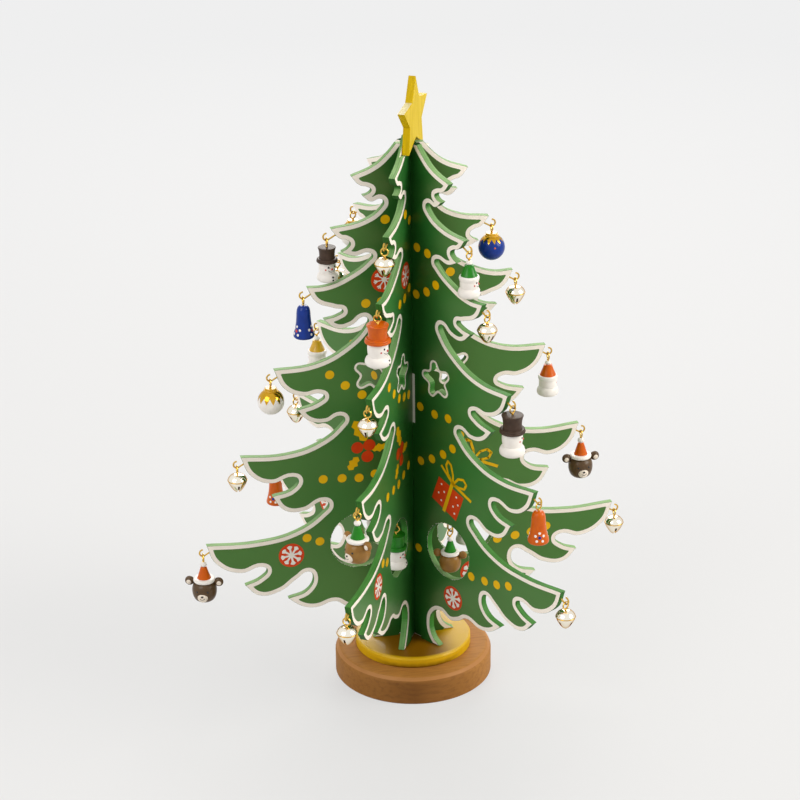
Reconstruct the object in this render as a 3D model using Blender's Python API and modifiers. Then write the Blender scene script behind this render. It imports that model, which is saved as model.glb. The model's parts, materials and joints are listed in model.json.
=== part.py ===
"""Tabletop Christmas tree: three flat wooden boards cross on one upright axis and stand in a round base.

Each board carries two wings of boughs, so the tree has six. A wire hook sits under every bough tip from the
second level down, and one at the top of each round window. A small painted ornament swings from every hook.
Sizes are in metres. The tree stands on the XY plane and its axis is the Z axis. The wing that points along +X
is the right wing.
"""

import math

import bmesh
import bpy
from mathutils import Matrix, Vector

# Round base
PLINTH_RADIUS = 0.0381
PLINTH_HEIGHT = 0.0142
PLINTH_CHAMFER = 0.0024
DISC_RADIUS = 0.0281
DISC_THICKNESS = 0.0046
DISC_EDGE_ROUND = 0.0007
ROUND_STEPS = 40

# Seating gap between two pieces that touch
SEAT_GAP = 0.0003

# Boards
BOARD_THICKNESS = 0.0030
BOUGH_RADIUS = 0.1000
CROWN_HEIGHT = 0.2513
APEX_HALF_WIDTH = 0.0065
APEX_RELIEF = 0.0012
FOOT_RADIUS = 0.0200
FOOT_RELIEF = 0.0003
RAISED_BOARD_LIFT = 0.0049
CURVE_STEPS = 2

# Tabs that stand in the disc
TAB_INNER_RADIUS = 0.0075
TAB_OUTER_RADIUS = 0.0150

# Crossing of the three boards on the axis
CROSSING_CLEARANCE = 0.0017
LOW_CROSSING_HEIGHT = 0.1110
HIGH_CROSSING_HEIGHT = 0.1670
WING_ANGLE = math.radians(60)

# Cut-outs in each wing
WINDOW_RADIUS = 0.0140
WINDOW_STEPS = 12
STAR_HOLE_RADIUS = 0.0085
STAR_HOLE_INNER_SHARE = 0.58
STAR_HOLE_TURN = math.radians(12)

# Star on the apex. It is let halfway into one face of the raised board
STAR_RADIUS = 0.0187
STAR_INNER_RADIUS = 0.0095
STAR_THICKNESS = 0.0034
STAR_SIDE_SHIFT = 0.0017
STAR_NOTCH_LIFT = 0.0013
STAR_POINTS = 5

# Wire hooks
WIRE_RADIUS = 0.0004
HOOK_LOOP_RADIUS = 0.00165
HOOK_TIP_OUT = 0.0017
HOOK_TIP_DOWN = 0.0040
HOOK_ROOT_IN = 0.0032
HOOK_ROOT_DOWN = 0.0030
HOOK_WINDOW_DOWN = 0.0022
HOOK_WINDOW_ROOT = 0.0030
HOOK_SIDES_LEVEL = 1
HOOK_TURN_STEP = math.radians(45)

# Wire eye of an ornament
EYE_RADIUS = 0.0017
EYE_WIRE_RADIUS = 0.00035
EYE_STEM_RADIUS = 0.00045
EYE_STEPS = 8
EYE_WIRE_SIDES = 4
STEM_SIDES = 6
STEM_SINK = 0.0006
STEM_LAP = 0.0002
EYE_LAP = 0.0001

# Ornament bodies: height, radius
SNOWMAN_TALL = 0.0198
SNOWMAN_TALL_RADIUS = 0.00595
SNOWMAN_SHORT = 0.0175
SNOWMAN_SHORT_RADIUS = 0.0052
BELL_HEIGHT = 0.0156
BELL_RADIUS = 0.0049
BALL_RADIUS = 0.0062
BALL_CAP_RADIUS = 0.0033
BALL_CAP_HEIGHT = 0.0018
JINGLE_RADIUS = 0.00465
BEAR_HEIGHT = 0.0205
BEAR_RADIUS = 0.0059
BEAR_EAR_RADIUS = 0.00215
BEAR_EAR_SPREAD = 0.0068
BEAR_MUZZLE_WIDTH = 0.0057
TURNED_STEPS = 8
SPHERE_RINGS = 6
SMALL_SPHERE_STEPS = 8
SMALL_SPHERE_RINGS = 5

# Ornaments that hang where there is less room: in a window, and the height of a figure on the second level as a
# share of the free drop from its hook to the bough tip below
WINDOW_ORNAMENT_SHARE = 0.88
SHORT_DROP_SHARES = {"top_hat": 0.871, "cone_hat": 0.939}

# One wing from the apex down to the foot. Each row is (share of BOUGH_RADIUS, share of CROWN_HEIGHT above the
# disc, kind). A "tip" is a sharp bough end that carries a hook, a "point" is sharp without one, and the
# curve runs smoothly through a "round".
WING_SHARES = (
    (0.095, 0.981, "round"), (0.160, 0.958, "round"), (0.272, 0.940, "point"),
    (0.235, 0.923, "round"), (0.197, 0.918, "round"), (0.180, 0.912, "round"), (0.190, 0.906, "round"),
    (0.222, 0.902, "point"), (0.182, 0.890, "round"), (0.138, 0.894, "round"), (0.122, 0.887, "round"),
    (0.136, 0.876, "round"), (0.216, 0.855, "round"), (0.371, 0.844, "tip"),
    (0.332, 0.825, "round"), (0.299, 0.821, "round"), (0.280, 0.813, "round"), (0.292, 0.805, "round"),
    (0.323, 0.798, "point"), (0.265, 0.789, "round"), (0.196, 0.793, "round"), (0.177, 0.786, "round"),
    (0.196, 0.776, "round"), (0.288, 0.751, "round"), (0.398, 0.735, "round"), (0.487, 0.735, "tip"),
    (0.445, 0.706, "round"), (0.360, 0.691, "round"), (0.320, 0.684, "round"), (0.345, 0.676, "round"),
    (0.412, 0.670, "point"), (0.350, 0.651, "round"), (0.280, 0.655, "round"), (0.223, 0.669, "round"),
    (0.202, 0.662, "round"), (0.215, 0.648, "round"), (0.310, 0.611, "round"), (0.455, 0.584, "round"),
    (0.651, 0.579, "tip"),
    (0.605, 0.541, "round"), (0.515, 0.523, "round"), (0.440, 0.525, "round"), (0.416, 0.518, "round"),
    (0.440, 0.508, "round"), (0.548, 0.495, "point"), (0.488, 0.471, "round"), (0.410, 0.466, "round"),
    (0.345, 0.476, "round"), (0.322, 0.469, "round"), (0.340, 0.456, "round"), (0.452, 0.423, "round"),
    (0.607, 0.407, "round"), (0.822, 0.411, "tip"),
    (0.775, 0.371, "round"), (0.680, 0.352, "round"), (0.580, 0.361, "round"), (0.551, 0.354, "round"),
    (0.575, 0.336, "round"), (0.677, 0.324, "point"), (0.620, 0.293, "round"), (0.530, 0.288, "round"),
    (0.430, 0.304, "round"), (0.406, 0.296, "round"), (0.441, 0.277, "round"), (0.572, 0.245, "round"),
    (0.757, 0.232, "round"), (1.000, 0.236, "tip"),
    (0.958, 0.197, "round"), (0.840, 0.172, "round"), (0.738, 0.180, "round"), (0.713, 0.172, "round"),
    (0.745, 0.156, "round"), (0.822, 0.144, "point"), (0.755, 0.120, "round"), (0.655, 0.124, "round"),
    (0.570, 0.147, "round"), (0.514, 0.159, "round"), (0.492, 0.150, "round"), (0.515, 0.121, "round"),
    (0.615, 0.106, "point"), (0.545, 0.086, "round"), (0.480, 0.081, "round"), (0.385, 0.089, "round"),
    (0.335, 0.077, "round"), (0.275, 0.070, "round"), (0.210, 0.080, "round"), (0.155, 0.068, "round"),
    (0.134, 0.045, "round"), (0.152, 0.016, "round"),
)
TIP_SHARES = [shares for shares in WING_SHARES if shares[2] == "tip"]
WINDOW_PLACE_SHARE = (0.263, 0.214)
STAR_HOLE_PLACE_SHARE = (0.187, 0.555)

# Turned profiles from the top down: (share of the radius, share of the height)
TOP_HAT_SHARES = (
    (0.00, 0.000), (0.84, 0.000), (0.68, 0.170), (0.68, 0.350), (0.98, 0.360), (0.98, 0.430), (0.72, 0.445),
    (0.80, 0.580), (0.68, 0.770), (0.95, 0.830), (1.00, 0.910), (0.72, 1.000), (0.00, 1.000),
)
CONE_HAT_SHARES = (
    (0.00, 0.000), (0.30, 0.030), (0.30, 0.100), (0.22, 0.150), (0.70, 0.420), (0.87, 0.430), (0.87, 0.510),
    (0.74, 0.530), (0.83, 0.640), (0.72, 0.750), (0.96, 0.820), (1.00, 0.910), (0.66, 1.000), (0.00, 1.000),
)
BELL_SHARES = (
    (0.00, 0.000), (0.42, 0.030), (0.62, 0.130), (0.68, 0.400), (0.80, 0.700), (1.00, 0.900), (0.96, 1.000),
    (0.00, 1.000),
)
BEAR_SHARES = (
    (0.00, 0.000), (0.22, 0.030), (0.22, 0.080), (0.20, 0.120), (0.56, 0.420), (0.83, 0.430), (0.83, 0.520),
    (0.95, 0.560), (1.00, 0.720), (0.86, 0.900), (0.48, 0.990), (0.00, 1.000),
)
BEAR_EAR_SHARE = 0.49
BEAR_EAR_REACH_SHARE = 1.2
BEAR_MUZZLE_SHARE = 0.85
BEAR_MUZZLE_OUT_SHARE = 0.80
MUZZLE_HEIGHT_SHARE = 0.76
MUZZLE_DEPTH_SHARE = 0.62

# Wings in the order in which they stand round the axis, one WING_ANGLE apart
WINGS = ("right", "back_right", "back_left", "left", "front_left", "front_right")

# Boards: the wing along the board's own +X, and how the board crosses the others
BOARDS = {
    "board_left_right": {"wing": "right", "slot_below": False, "slot_above": True, "crossing": "low"},
    "board_front_left": {"wing": "front_left", "slot_below": True, "slot_above": True, "crossing": "middle"},
    "board_front_right": {"wing": "front_right", "slot_below": True, "slot_above": False, "crossing": "high"},
}

# Ornaments of each wing: the five hooks under the tips from the second level down, then the window's hook
ORNAMENTS = {
    "left": ("top_hat_black", "bell_blue", "ball_white", "jingle", "bear_dark", "cone_hat_orange"),
    "front_left": ("jingle", "top_hat_orange", "jingle", "bear_light", "jingle", "top_hat_green"),
    "front_right": ("cone_hat_green", "jingle", "top_hat_black", "bell_orange", "jingle", "bear_light"),
    "right": ("ball_blue", "jingle", "cone_hat_orange", "bear_dark", "jingle", "cone_hat_gold"),
    "back_left": ("ball_white", "jingle", "cone_hat_gold", "jingle", "bell_orange", "top_hat_black"),
    "back_right": ("cone_hat_orange", "bell_blue", "jingle", "ball_blue", "jingle", "jingle"),
}
PLACES = ("level_2", "level_3", "level_4", "level_5", "level_6", "window")

# The way that each bear looks, counted about the axis from the right wing
BEAR_LOOKS = {
    "left_level_6": math.radians(250),
    "front_left_level_5": math.radians(190),
    "front_right_window": math.radians(63),
    "right_level_5": math.radians(270),
}

# Colour, roughness and metallic value of each finish
FINISHES = {
    "plinth_brown": ((0.29, 0.11, 0.035), 0.55, 0.0),
    "disc_yellow": ((0.72, 0.42, 0.012), 0.45, 0.0),
    "board_green": ((0.045, 0.16, 0.035), 0.45, 0.0),
    "star_yellow": ((0.80, 0.55, 0.05), 0.5, 0.0),
    "jingle": ((0.85, 0.58, 0.22), 0.18, 1.0),
    "top_hat_black": ((0.05, 0.035, 0.03), 0.3, 0.0),
    "top_hat_orange": ((0.65, 0.10, 0.02), 0.3, 0.0),
    "top_hat_green": ((0.03, 0.16, 0.04), 0.3, 0.0),
    "cone_hat_orange": ((0.70, 0.10, 0.02), 0.3, 0.0),
    "cone_hat_green": ((0.03, 0.20, 0.05), 0.3, 0.0),
    "cone_hat_gold": ((0.75, 0.50, 0.10), 0.3, 0.0),
    "bell_blue": ((0.015, 0.035, 0.30), 0.3, 0.0),
    "bell_orange": ((0.65, 0.09, 0.02), 0.3, 0.0),
    "ball_white": ((0.80, 0.76, 0.70), 0.3, 0.0),
    "ball_blue": ((0.015, 0.03, 0.26), 0.3, 0.0),
    "bear_dark": ((0.075, 0.035, 0.018), 0.35, 0.0),
    "bear_light": ((0.30, 0.13, 0.04), 0.35, 0.0),
}

DISC_BOTTOM = PLINTH_HEIGHT + SEAT_GAP
DISC_TOP = DISC_BOTTOM + DISC_THICKNESS
APEX_HEIGHT = DISC_TOP + CROWN_HEIGHT
FOOT_HEIGHT = DISC_TOP + SEAT_GAP
TAB_BOTTOM = DISC_BOTTOM + SEAT_GAP
HALF_BOARD = BOARD_THICKNESS / 2
OVERRUN = BOARD_THICKNESS
EYE_DROP = EYE_RADIUS - EYE_WIRE_RADIUS - WIRE_RADIUS - SEAT_GAP
BODY_DROP = EYE_DROP + EYE_RADIUS + EYE_WIRE_RADIUS + STEM_SINK - STEM_LAP


def crossing_half_width(thickness):
    """Half the width that a board at 60 degrees needs to pass through a piece of this thickness."""
    return (HALF_BOARD + thickness / 2 * math.cos(WING_ANGLE)) / math.sin(WING_ANGLE)


SLOT_HALF_WIDTH = crossing_half_width(BOARD_THICKNESS) + CROSSING_CLEARANCE


def clear_scene():
    """Remove everything, so that the file holds this object alone."""
    for old in list(bpy.data.objects):
        bpy.data.objects.remove(old, do_unlink=True)


def new_collection(name):
    collection = bpy.data.collections.new(name)
    bpy.context.scene.collection.children.link(collection)
    return collection


def finish(name):
    """A Principled material with the paint's colour, roughness and metallic value."""
    material = bpy.data.materials.get(name)
    if material is None:
        colour, roughness, metallic = FINISHES[name]
        material = bpy.data.materials.new(name)
        material.use_nodes = True
        shader = material.node_tree.nodes["Principled BSDF"]
        shader.inputs["Base Color"].default_value = (*colour, 1.0)
        shader.inputs["Roughness"].default_value = roughness
        shader.inputs["Metallic"].default_value = metallic
    return material


def add_part(name, mesh, paint):
    """Put one finished sub-part in the tree's collection."""
    part = bpy.data.objects.new(name, mesh)
    tree_parts.objects.link(part)
    part.data.materials.clear()
    part.data.materials.append(finish(paint))
    return part


def add_cutter(name, mesh):
    """Put a helper solid in the cutters' collection, hidden from renders."""
    cutter = bpy.data.objects.new(name, mesh)
    cutters.objects.link(cutter)
    cutter.hide_render = True
    cutter.display_type = "WIRE"
    return cutter


def boolean(part, operation, helper):
    modifier = part.modifiers.new(helper.name, "BOOLEAN")
    modifier.operation = operation
    modifier.solver = "EXACT"
    modifier.object = helper


def solid_mesh(source, name):
    """The shape that a curve or a part with modifiers gives, as one welded mesh."""
    bpy.context.view_layer.update()
    graph = bpy.context.evaluated_depsgraph_get()
    mesh = bpy.data.meshes.new_from_object(source.evaluated_get(graph))
    mesh.name = name
    shape = bmesh.new()
    shape.from_mesh(mesh)
    bmesh.ops.remove_doubles(shape, verts=shape.verts, dist=WIRE_RADIUS / 100)
    bmesh.ops.recalc_face_normals(shape, faces=shape.faces)
    shape.to_mesh(mesh)
    shape.free()
    return mesh


def smooth_sides(mesh, angle=math.radians(35)):
    mesh.shade_smooth()
    mesh.set_sharp_from_angle(angle=angle)


def turned_mesh(name, profile, steps):
    """Turn a profile of (radius, height) points, which runs from the top down, about the Z axis."""
    outline = bpy.data.meshes.new(name + "_profile")
    points = [(radius, 0, height) for radius, height in profile]
    outline.from_pydata(points, [(i, i + 1) for i in range(len(points) - 1)], [])
    lathe = add_cutter(name + "_lathe", outline)
    screw = lathe.modifiers.new("turn", "SCREW")
    screw.axis = "Z"
    screw.steps = steps
    screw.render_steps = steps
    screw.use_merge_vertices = True
    screw.merge_threshold = WIRE_RADIUS / 100
    mesh = solid_mesh(lathe, name)
    bpy.data.objects.remove(lathe)
    return mesh


def flat_outline(name, thickness, outlines, steps):
    """A flat plate from closed outlines of (x, height, is_sharp). Outlines inside the first one are holes."""
    curve = bpy.data.curves.new(name, "CURVE")
    curve.dimensions = "2D"
    curve.fill_mode = "BOTH"
    curve.extrude = thickness / 2
    curve.resolution_u = steps
    for outline in outlines:
        spline = curve.splines.new("BEZIER")
        spline.bezier_points.add(len(outline) - 1)
        spline.use_cyclic_u = True
        for knot, (x, height, is_sharp) in zip(spline.bezier_points, outline):
            knot.co = (x, height, 0)
            kind = "VECTOR" if is_sharp else "AUTO"
            knot.handle_left_type = kind
            knot.handle_right_type = kind
    plate = bpy.data.objects.new(name, curve)
    cutters.objects.link(plate)
    mesh = solid_mesh(plate, name)
    mesh.transform(Matrix.Rotation(math.radians(90), 4, "X"))
    bpy.data.objects.remove(plate)
    return mesh


def wing_turn(wing):
    """The turn about the axis that takes +X to this wing."""
    return Matrix.Rotation(WINGS.index(wing) * WING_ANGLE, 4, "Z")


def bough_point(shares, lift):
    """Radius and height of a place on a wing, from its shares."""
    return shares[0] * BOUGH_RADIUS, DISC_TOP + lift + shares[1] * CROWN_HEIGHT


def board_side(board, lift):
    """The right-hand outline of a board from its lower middle to its upper middle."""
    low = DISC_TOP + LOW_CROSSING_HEIGHT
    high = DISC_TOP + HIGH_CROSSING_HEIGHT
    top = APEX_HEIGHT - APEX_RELIEF + lift
    side = []
    foot_middle = FOOT_HEIGHT + FOOT_RELIEF
    if board["slot_below"]:
        slot_end = (low if board["crossing"] == "middle" else high) + SEAT_GAP / 2
        side += [(SLOT_HALF_WIDTH, slot_end, True), (SLOT_HALF_WIDTH, foot_middle, True)]
    side += [
        (TAB_INNER_RADIUS, foot_middle, True),
        (TAB_INNER_RADIUS, TAB_BOTTOM, True),
        (TAB_OUTER_RADIUS, TAB_BOTTOM, True),
        (TAB_OUTER_RADIUS, FOOT_HEIGHT, True),
        (FOOT_RADIUS, FOOT_HEIGHT, True),
    ]
    for shares in reversed(WING_SHARES):
        side.append((*bough_point(shares, lift), shares[2] != "round"))
    side.append((APEX_HALF_WIDTH, top, True))
    if board["slot_above"]:
        slot_end = (low if board["crossing"] == "low" else high) - SEAT_GAP / 2
        side += [(SLOT_HALF_WIDTH, top, True), (SLOT_HALF_WIDTH, slot_end, True)]
    return side


def star_outline(centre, outer, inner, turn, is_sharp):
    """A star's outline, drawn upright when turn is zero."""
    outline = []
    for step in range(2 * STAR_POINTS):
        angle = math.radians(90) + turn + step * math.pi / STAR_POINTS
        radius = inner if step % 2 else outer
        x = centre[0] + radius * math.cos(angle)
        outline.append((x, centre[1] + radius * math.sin(angle), is_sharp))
    return outline


def round_outline(centre, radius, steps):
    outline = []
    for step in range(steps):
        angle = 2 * math.pi * step / steps
        x = centre[0] + radius * math.cos(angle)
        outline.append((x, centre[1] + radius * math.sin(angle), False))
    return outline


def mirrored(outline):
    return [(-x, height, is_sharp) for x, height, is_sharp in reversed(outline)]


def hook_path(place, lift):
    """Points of a hook's wire in a wing's own (radius, height), from inside the wood to the open end.

    It also gives the middle of the wire at the bottom of the loop, where the ornament hangs.
    """
    if place == "window":
        radius, height = bough_point(WINDOW_PLACE_SHARE, lift)
        top = height + WINDOW_RADIUS
        centre = (radius, top - HOOK_WINDOW_DOWN)
        path = [(radius - HOOK_LOOP_RADIUS, top + HOOK_WINDOW_ROOT)]
        first, last = math.radians(180), math.radians(405)
    else:
        radius, height = bough_point(TIP_SHARES[PLACES.index(place)], lift)
        centre = (radius + HOOK_TIP_OUT, height - HOOK_TIP_DOWN)
        path = [(radius - HOOK_ROOT_IN, height - HOOK_ROOT_DOWN)]
        first, last = math.radians(225), math.radians(450)
    steps = round((last - first) / HOOK_TURN_STEP)
    for step in range(steps + 1):
        angle = first + (last - first) * step / steps
        x = centre[0] + HOOK_LOOP_RADIUS * math.cos(angle)
        path.append((x, centre[1] + HOOK_LOOP_RADIUS * math.sin(angle)))
    return path, (centre[0], centre[1] - HOOK_LOOP_RADIUS)


def wire_mesh(name, points):
    """A round wire along these points, with closed ends."""
    curve = bpy.data.curves.new(name, "CURVE")
    curve.dimensions = "3D"
    curve.bevel_depth = WIRE_RADIUS
    curve.bevel_resolution = HOOK_SIDES_LEVEL
    curve.use_fill_caps = True
    spline = curve.splines.new("POLY")
    spline.points.add(len(points) - 1)
    for knot, point in zip(spline.points, points):
        knot.co = (*point, 1)
    wire = bpy.data.objects.new(name, curve)
    cutters.objects.link(wire)
    mesh = solid_mesh(wire, name)
    bpy.data.objects.remove(wire)
    return mesh


def board_lift(name):
    return RAISED_BOARD_LIFT if name == "board_front_left" else 0


def board_of(wing):
    """The name of the board that a wing is part of. A board's two wings stand opposite each other."""
    opposite = WINGS[WINGS.index(wing) - len(WINGS) // 2]
    return next(name for name, board in BOARDS.items() if board["wing"] in (wing, opposite))


def make_plinth():
    flat_radius = PLINTH_RADIUS - PLINTH_CHAMFER
    wall_top = PLINTH_HEIGHT - PLINTH_CHAMFER
    profile = [(0, PLINTH_HEIGHT), (flat_radius, PLINTH_HEIGHT), (PLINTH_RADIUS, wall_top)]
    profile += [(PLINTH_RADIUS, 0), (0, 0)]
    mesh = turned_mesh("base_plinth", profile, ROUND_STEPS)
    smooth_sides(mesh)
    add_part("base_plinth", mesh, "plinth_brown")


def make_disc():
    """The yellow disc, with a slot through it for each wing's tab."""
    profile = [(0, DISC_TOP), (DISC_RADIUS - DISC_EDGE_ROUND, DISC_TOP)]
    profile += [(DISC_RADIUS, DISC_TOP - DISC_EDGE_ROUND), (DISC_RADIUS, DISC_BOTTOM), (0, DISC_BOTTOM)]
    mesh = turned_mesh("base_disc", profile, ROUND_STEPS)
    disc = add_cutter("disc_blank", mesh)
    length = TAB_OUTER_RADIUS - TAB_INNER_RADIUS + 2 * SEAT_GAP
    width = BOARD_THICKNESS + 2 * SEAT_GAP
    depth = DISC_THICKNESS + 2 * OVERRUN
    middle = (TAB_INNER_RADIUS + TAB_OUTER_RADIUS) / 2
    for wing in WINGS:
        slot = bpy.data.meshes.new("slot_" + wing)
        shape = bmesh.new()
        bmesh.ops.create_cube(shape, size=1, matrix=Matrix.Diagonal((length, width, depth, 1)))
        shape.to_mesh(slot)
        shape.free()
        slot.transform(Matrix.Translation((middle, 0, (DISC_TOP + DISC_BOTTOM) / 2)))
        slot.transform(wing_turn(wing))
        boolean(disc, "DIFFERENCE", add_cutter("disc_slot_" + wing, slot))
    finished = solid_mesh(disc, "base_disc")
    smooth_sides(finished)
    add_part("base_disc", finished, "disc_yellow")


def star_plate(name, grow):
    """The star's flat shape beside the raised board's middle plane, made larger all round by grow."""
    centre = (0, star_centre_height())
    tip = STAR_RADIUS + grow / math.sin(math.pi / STAR_POINTS)
    outline = star_outline(centre, tip, STAR_INNER_RADIUS + grow, 0, True)
    mesh = flat_outline(name, STAR_THICKNESS + 2 * grow, [outline], 1)
    mesh.transform(wing_turn("front_left") @ Matrix.Translation((0, STAR_SIDE_SHIFT, 0)))
    return mesh


def star_centre_height():
    """The star's lower notch stands over the apex of the board that crosses highest."""
    return APEX_HEIGHT + STAR_NOTCH_LIFT + STAR_INNER_RADIUS


def board_blank(name):
    """A board's flat shape in its place, with its cut-outs and slots and without its hooks."""
    board = BOARDS[name]
    lift = board_lift(name)
    side = board_side(board, lift)
    outline = side + mirrored(side)
    holes = []
    window = round_outline(bough_point(WINDOW_PLACE_SHARE, lift), WINDOW_RADIUS, WINDOW_STEPS)
    star_place = bough_point(STAR_HOLE_PLACE_SHARE, lift)
    inner = STAR_HOLE_RADIUS * STAR_HOLE_INNER_SHARE
    star_hole = star_outline(star_place, STAR_HOLE_RADIUS, inner, STAR_HOLE_TURN, False)
    for hole in (window, star_hole):
        holes += [hole, mirrored(hole)]
    mesh = flat_outline(name + "_blank", BOARD_THICKNESS, [outline] + holes, CURVE_STEPS)
    mesh.transform(wing_turn(board["wing"]))
    return mesh


def make_boards():
    """Each board with its wire hooks pressed in. The raised board is also cut to the star that it carries."""
    for name in BOARDS:
        board = add_cutter(name + "_with_hooks", board_blank(name))
        if name == "board_front_left":
            boolean(board, "DIFFERENCE", add_cutter("star_seat", star_plate("star_seat", SEAT_GAP)))
        for wing in WINGS:
            if board_of(wing) != name:
                continue
            for place in PLACES:
                path, _ = hook_path(place, board_lift(name))
                mesh = wire_mesh("hook", [(radius, 0, height) for radius, height in path])
                mesh.transform(wing_turn(wing))
                boolean(board, "UNION", add_cutter(f"hook_{wing}_{place}", mesh))
        finished = solid_mesh(board, name)
        smooth_sides(finished)
        add_part(name, finished, "board_green")


def make_star():
    """The star lies in its seat in the raised board, and its lower points straddle the apexes of the others."""
    add_part("star_topper", star_plate("star_topper", 0), "star_yellow")


def sphere_profile(radius, rings):
    """Half a circle from the top down, its top at height zero."""
    profile = []
    for ring in range(rings + 1):
        angle = math.pi * ring / rings
        x = 0 if ring in (0, rings) else radius * math.sin(angle)
        profile.append((x, radius * math.cos(angle) - radius))
    return profile


def ball_profile(share):
    """A ball under a short round cap, its top at height zero."""
    radius = BALL_RADIUS * share
    cap = BALL_CAP_RADIUS * share
    cap_height = BALL_CAP_HEIGHT * share
    sink = radius - math.sqrt(radius * radius - cap * cap)
    ball = [(x, height + sink - cap_height) for x, height in sphere_profile(radius, SPHERE_RINGS + 2)]
    return [(0, 0), (cap, 0), (cap, -cap_height)] + [(x, height) for x, height in ball if height < -cap_height]


def scaled_profile(shares, radius, height):
    return [(radius * across, -height * down) for across, down in shares]


def ball_mesh(name, radii, centre):
    """A small ball or oval at this place."""
    mesh = bpy.data.meshes.new(name)
    shape = bmesh.new()
    bmesh.ops.create_uvsphere(shape, u_segments=SMALL_SPHERE_STEPS, v_segments=SMALL_SPHERE_RINGS, radius=1)
    shape.to_mesh(mesh)
    shape.free()
    mesh.transform(Matrix.Translation(centre) @ Matrix.Diagonal((*radii, 1)))
    return mesh


def eye_mesh():
    """The wire eye, a ring that stands across the hook's wire. Its own place is the middle of that wire."""
    bpy.ops.mesh.primitive_torus_add(
        major_segments=EYE_STEPS,
        minor_segments=EYE_WIRE_SIDES,
        major_radius=EYE_RADIUS,
        minor_radius=EYE_WIRE_RADIUS,
    )
    ring = bpy.context.active_object
    mesh = ring.data
    mesh.transform(Matrix.Rotation(math.pi / EYE_STEPS, 4, "Z"))
    mesh.transform(Matrix.Translation((0, 0, -EYE_DROP)) @ Matrix.Rotation(math.radians(90), 4, "Y"))
    bpy.data.objects.remove(ring)
    return mesh


def stem_mesh():
    """The short shank between the eye and the ornament's body."""
    top = -EYE_DROP - EYE_RADIUS + EYE_LAP
    bottom = -BODY_DROP - STEM_SINK
    mesh = bpy.data.meshes.new("stem")
    shape = bmesh.new()
    bmesh.ops.create_cone(
        shape,
        cap_ends=True,
        segments=STEM_SIDES,
        radius1=EYE_STEM_RADIUS,
        radius2=EYE_STEM_RADIUS,
        depth=top - bottom,
    )
    shape.to_mesh(mesh)
    shape.free()
    mesh.transform(Matrix.Translation((0, 0, (top + bottom) / 2)))
    return mesh


def bear_extras(share, look):
    """A bear's two ears and its muzzle. The bear looks along +X when look is zero."""
    ear_height = -BODY_DROP - BEAR_HEIGHT * share * BEAR_EAR_SHARE
    ear = BEAR_EAR_RADIUS * share
    muzzle = BEAR_MUZZLE_WIDTH / 2 * share
    muzzle_height = -BODY_DROP - BEAR_HEIGHT * share * BEAR_MUZZLE_SHARE
    muzzle_out = BEAR_RADIUS * share * BEAR_MUZZLE_OUT_SHARE
    ear_radii = (ear, ear * BEAR_EAR_REACH_SHARE, ear)
    spread = BEAR_EAR_SPREAD * share
    meshes = [ball_mesh("ear", ear_radii, (0, side * spread, ear_height)) for side in (-1, 1)]
    radii = (muzzle * MUZZLE_DEPTH_SHARE, muzzle, muzzle * MUZZLE_HEIGHT_SHARE)
    meshes.append(ball_mesh("muzzle", radii, (muzzle_out, 0, muzzle_height)))
    for mesh in meshes:
        mesh.transform(Matrix.Rotation(look, 4, "Z"))
    return meshes


def ornament_profile(kind, share):
    if kind.startswith("top_hat"):
        return scaled_profile(TOP_HAT_SHARES, SNOWMAN_TALL_RADIUS * share, SNOWMAN_TALL * share)
    if kind.startswith("cone_hat"):
        return scaled_profile(CONE_HAT_SHARES, SNOWMAN_SHORT_RADIUS * share, SNOWMAN_SHORT * share)
    if kind.startswith("bell"):
        return scaled_profile(BELL_SHARES, BELL_RADIUS * share, BELL_HEIGHT * share)
    if kind.startswith("ball"):
        return ball_profile(share)
    if kind.startswith("bear"):
        return scaled_profile(BEAR_SHARES, BEAR_RADIUS * share, BEAR_HEIGHT * share)
    return sphere_profile(JINGLE_RADIUS * share, SPHERE_RINGS)


def ornament_share(kind, place):
    """How large this ornament is made for the room at its place."""
    if place == "window":
        return WINDOW_ORNAMENT_SHARE
    shape = kind.rsplit("_", 1)[0]
    if place != PLACES[0] or shape not in SHORT_DROP_SHARES:
        return 1
    drop = (TIP_SHARES[0][1] - TIP_SHARES[1][1]) * CROWN_HEIGHT - HOOK_TIP_DOWN
    drop -= HOOK_LOOP_RADIUS + BODY_DROP
    full_height = SNOWMAN_TALL if shape == "top_hat" else SNOWMAN_SHORT
    return SHORT_DROP_SHARES[shape] * drop / full_height


def ornament_mesh(kind, share, look):
    """One ornament with its eye and stem as a single solid, hung from its own origin."""
    shape_kind = kind.rsplit("_", 1)[0] if "_" in kind else kind
    name = f"{shape_kind}_{round(100 * share)}_{round(math.degrees(look))}"
    mesh = ornament_meshes.get(name)
    if mesh is None:
        profile = [(radius, height - BODY_DROP) for radius, height in ornament_profile(kind, share)]
        body = add_cutter(name + "_body", turned_mesh(name + "_body", profile, TURNED_STEPS))
        extras = [stem_mesh(), eye_mesh()]
        if kind.startswith("bear"):
            extras += bear_extras(share, look)
        for extra in extras:
            boolean(body, "UNION", add_cutter(f"{name}_{extra.name}", extra))
        mesh = solid_mesh(body, name)
        smooth_sides(mesh)
        ornament_meshes[name] = mesh
    return mesh.copy()


def make_ornaments():
    """Hang one ornament on each hook, with its origin on the line that it swings about."""
    for wing, kinds in ORNAMENTS.items():
        lift = board_lift(board_of(wing))
        for place, kind in zip(PLACES, kinds):
            _, (radius, height) = hook_path(place, lift)
            share = ornament_share(kind, place)
            wing_way = WINGS.index(wing) * WING_ANGLE
            look = BEAR_LOOKS.get(f"{wing}_{place}", wing_way) - wing_way
            piece = add_part(f"{kind}_{wing}_{place}", ornament_mesh(kind, share, look), kind)
            piece.location = wing_turn(wing) @ Vector((radius, 0, height))
            piece.rotation_euler = (0, 0, wing_way)


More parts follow.
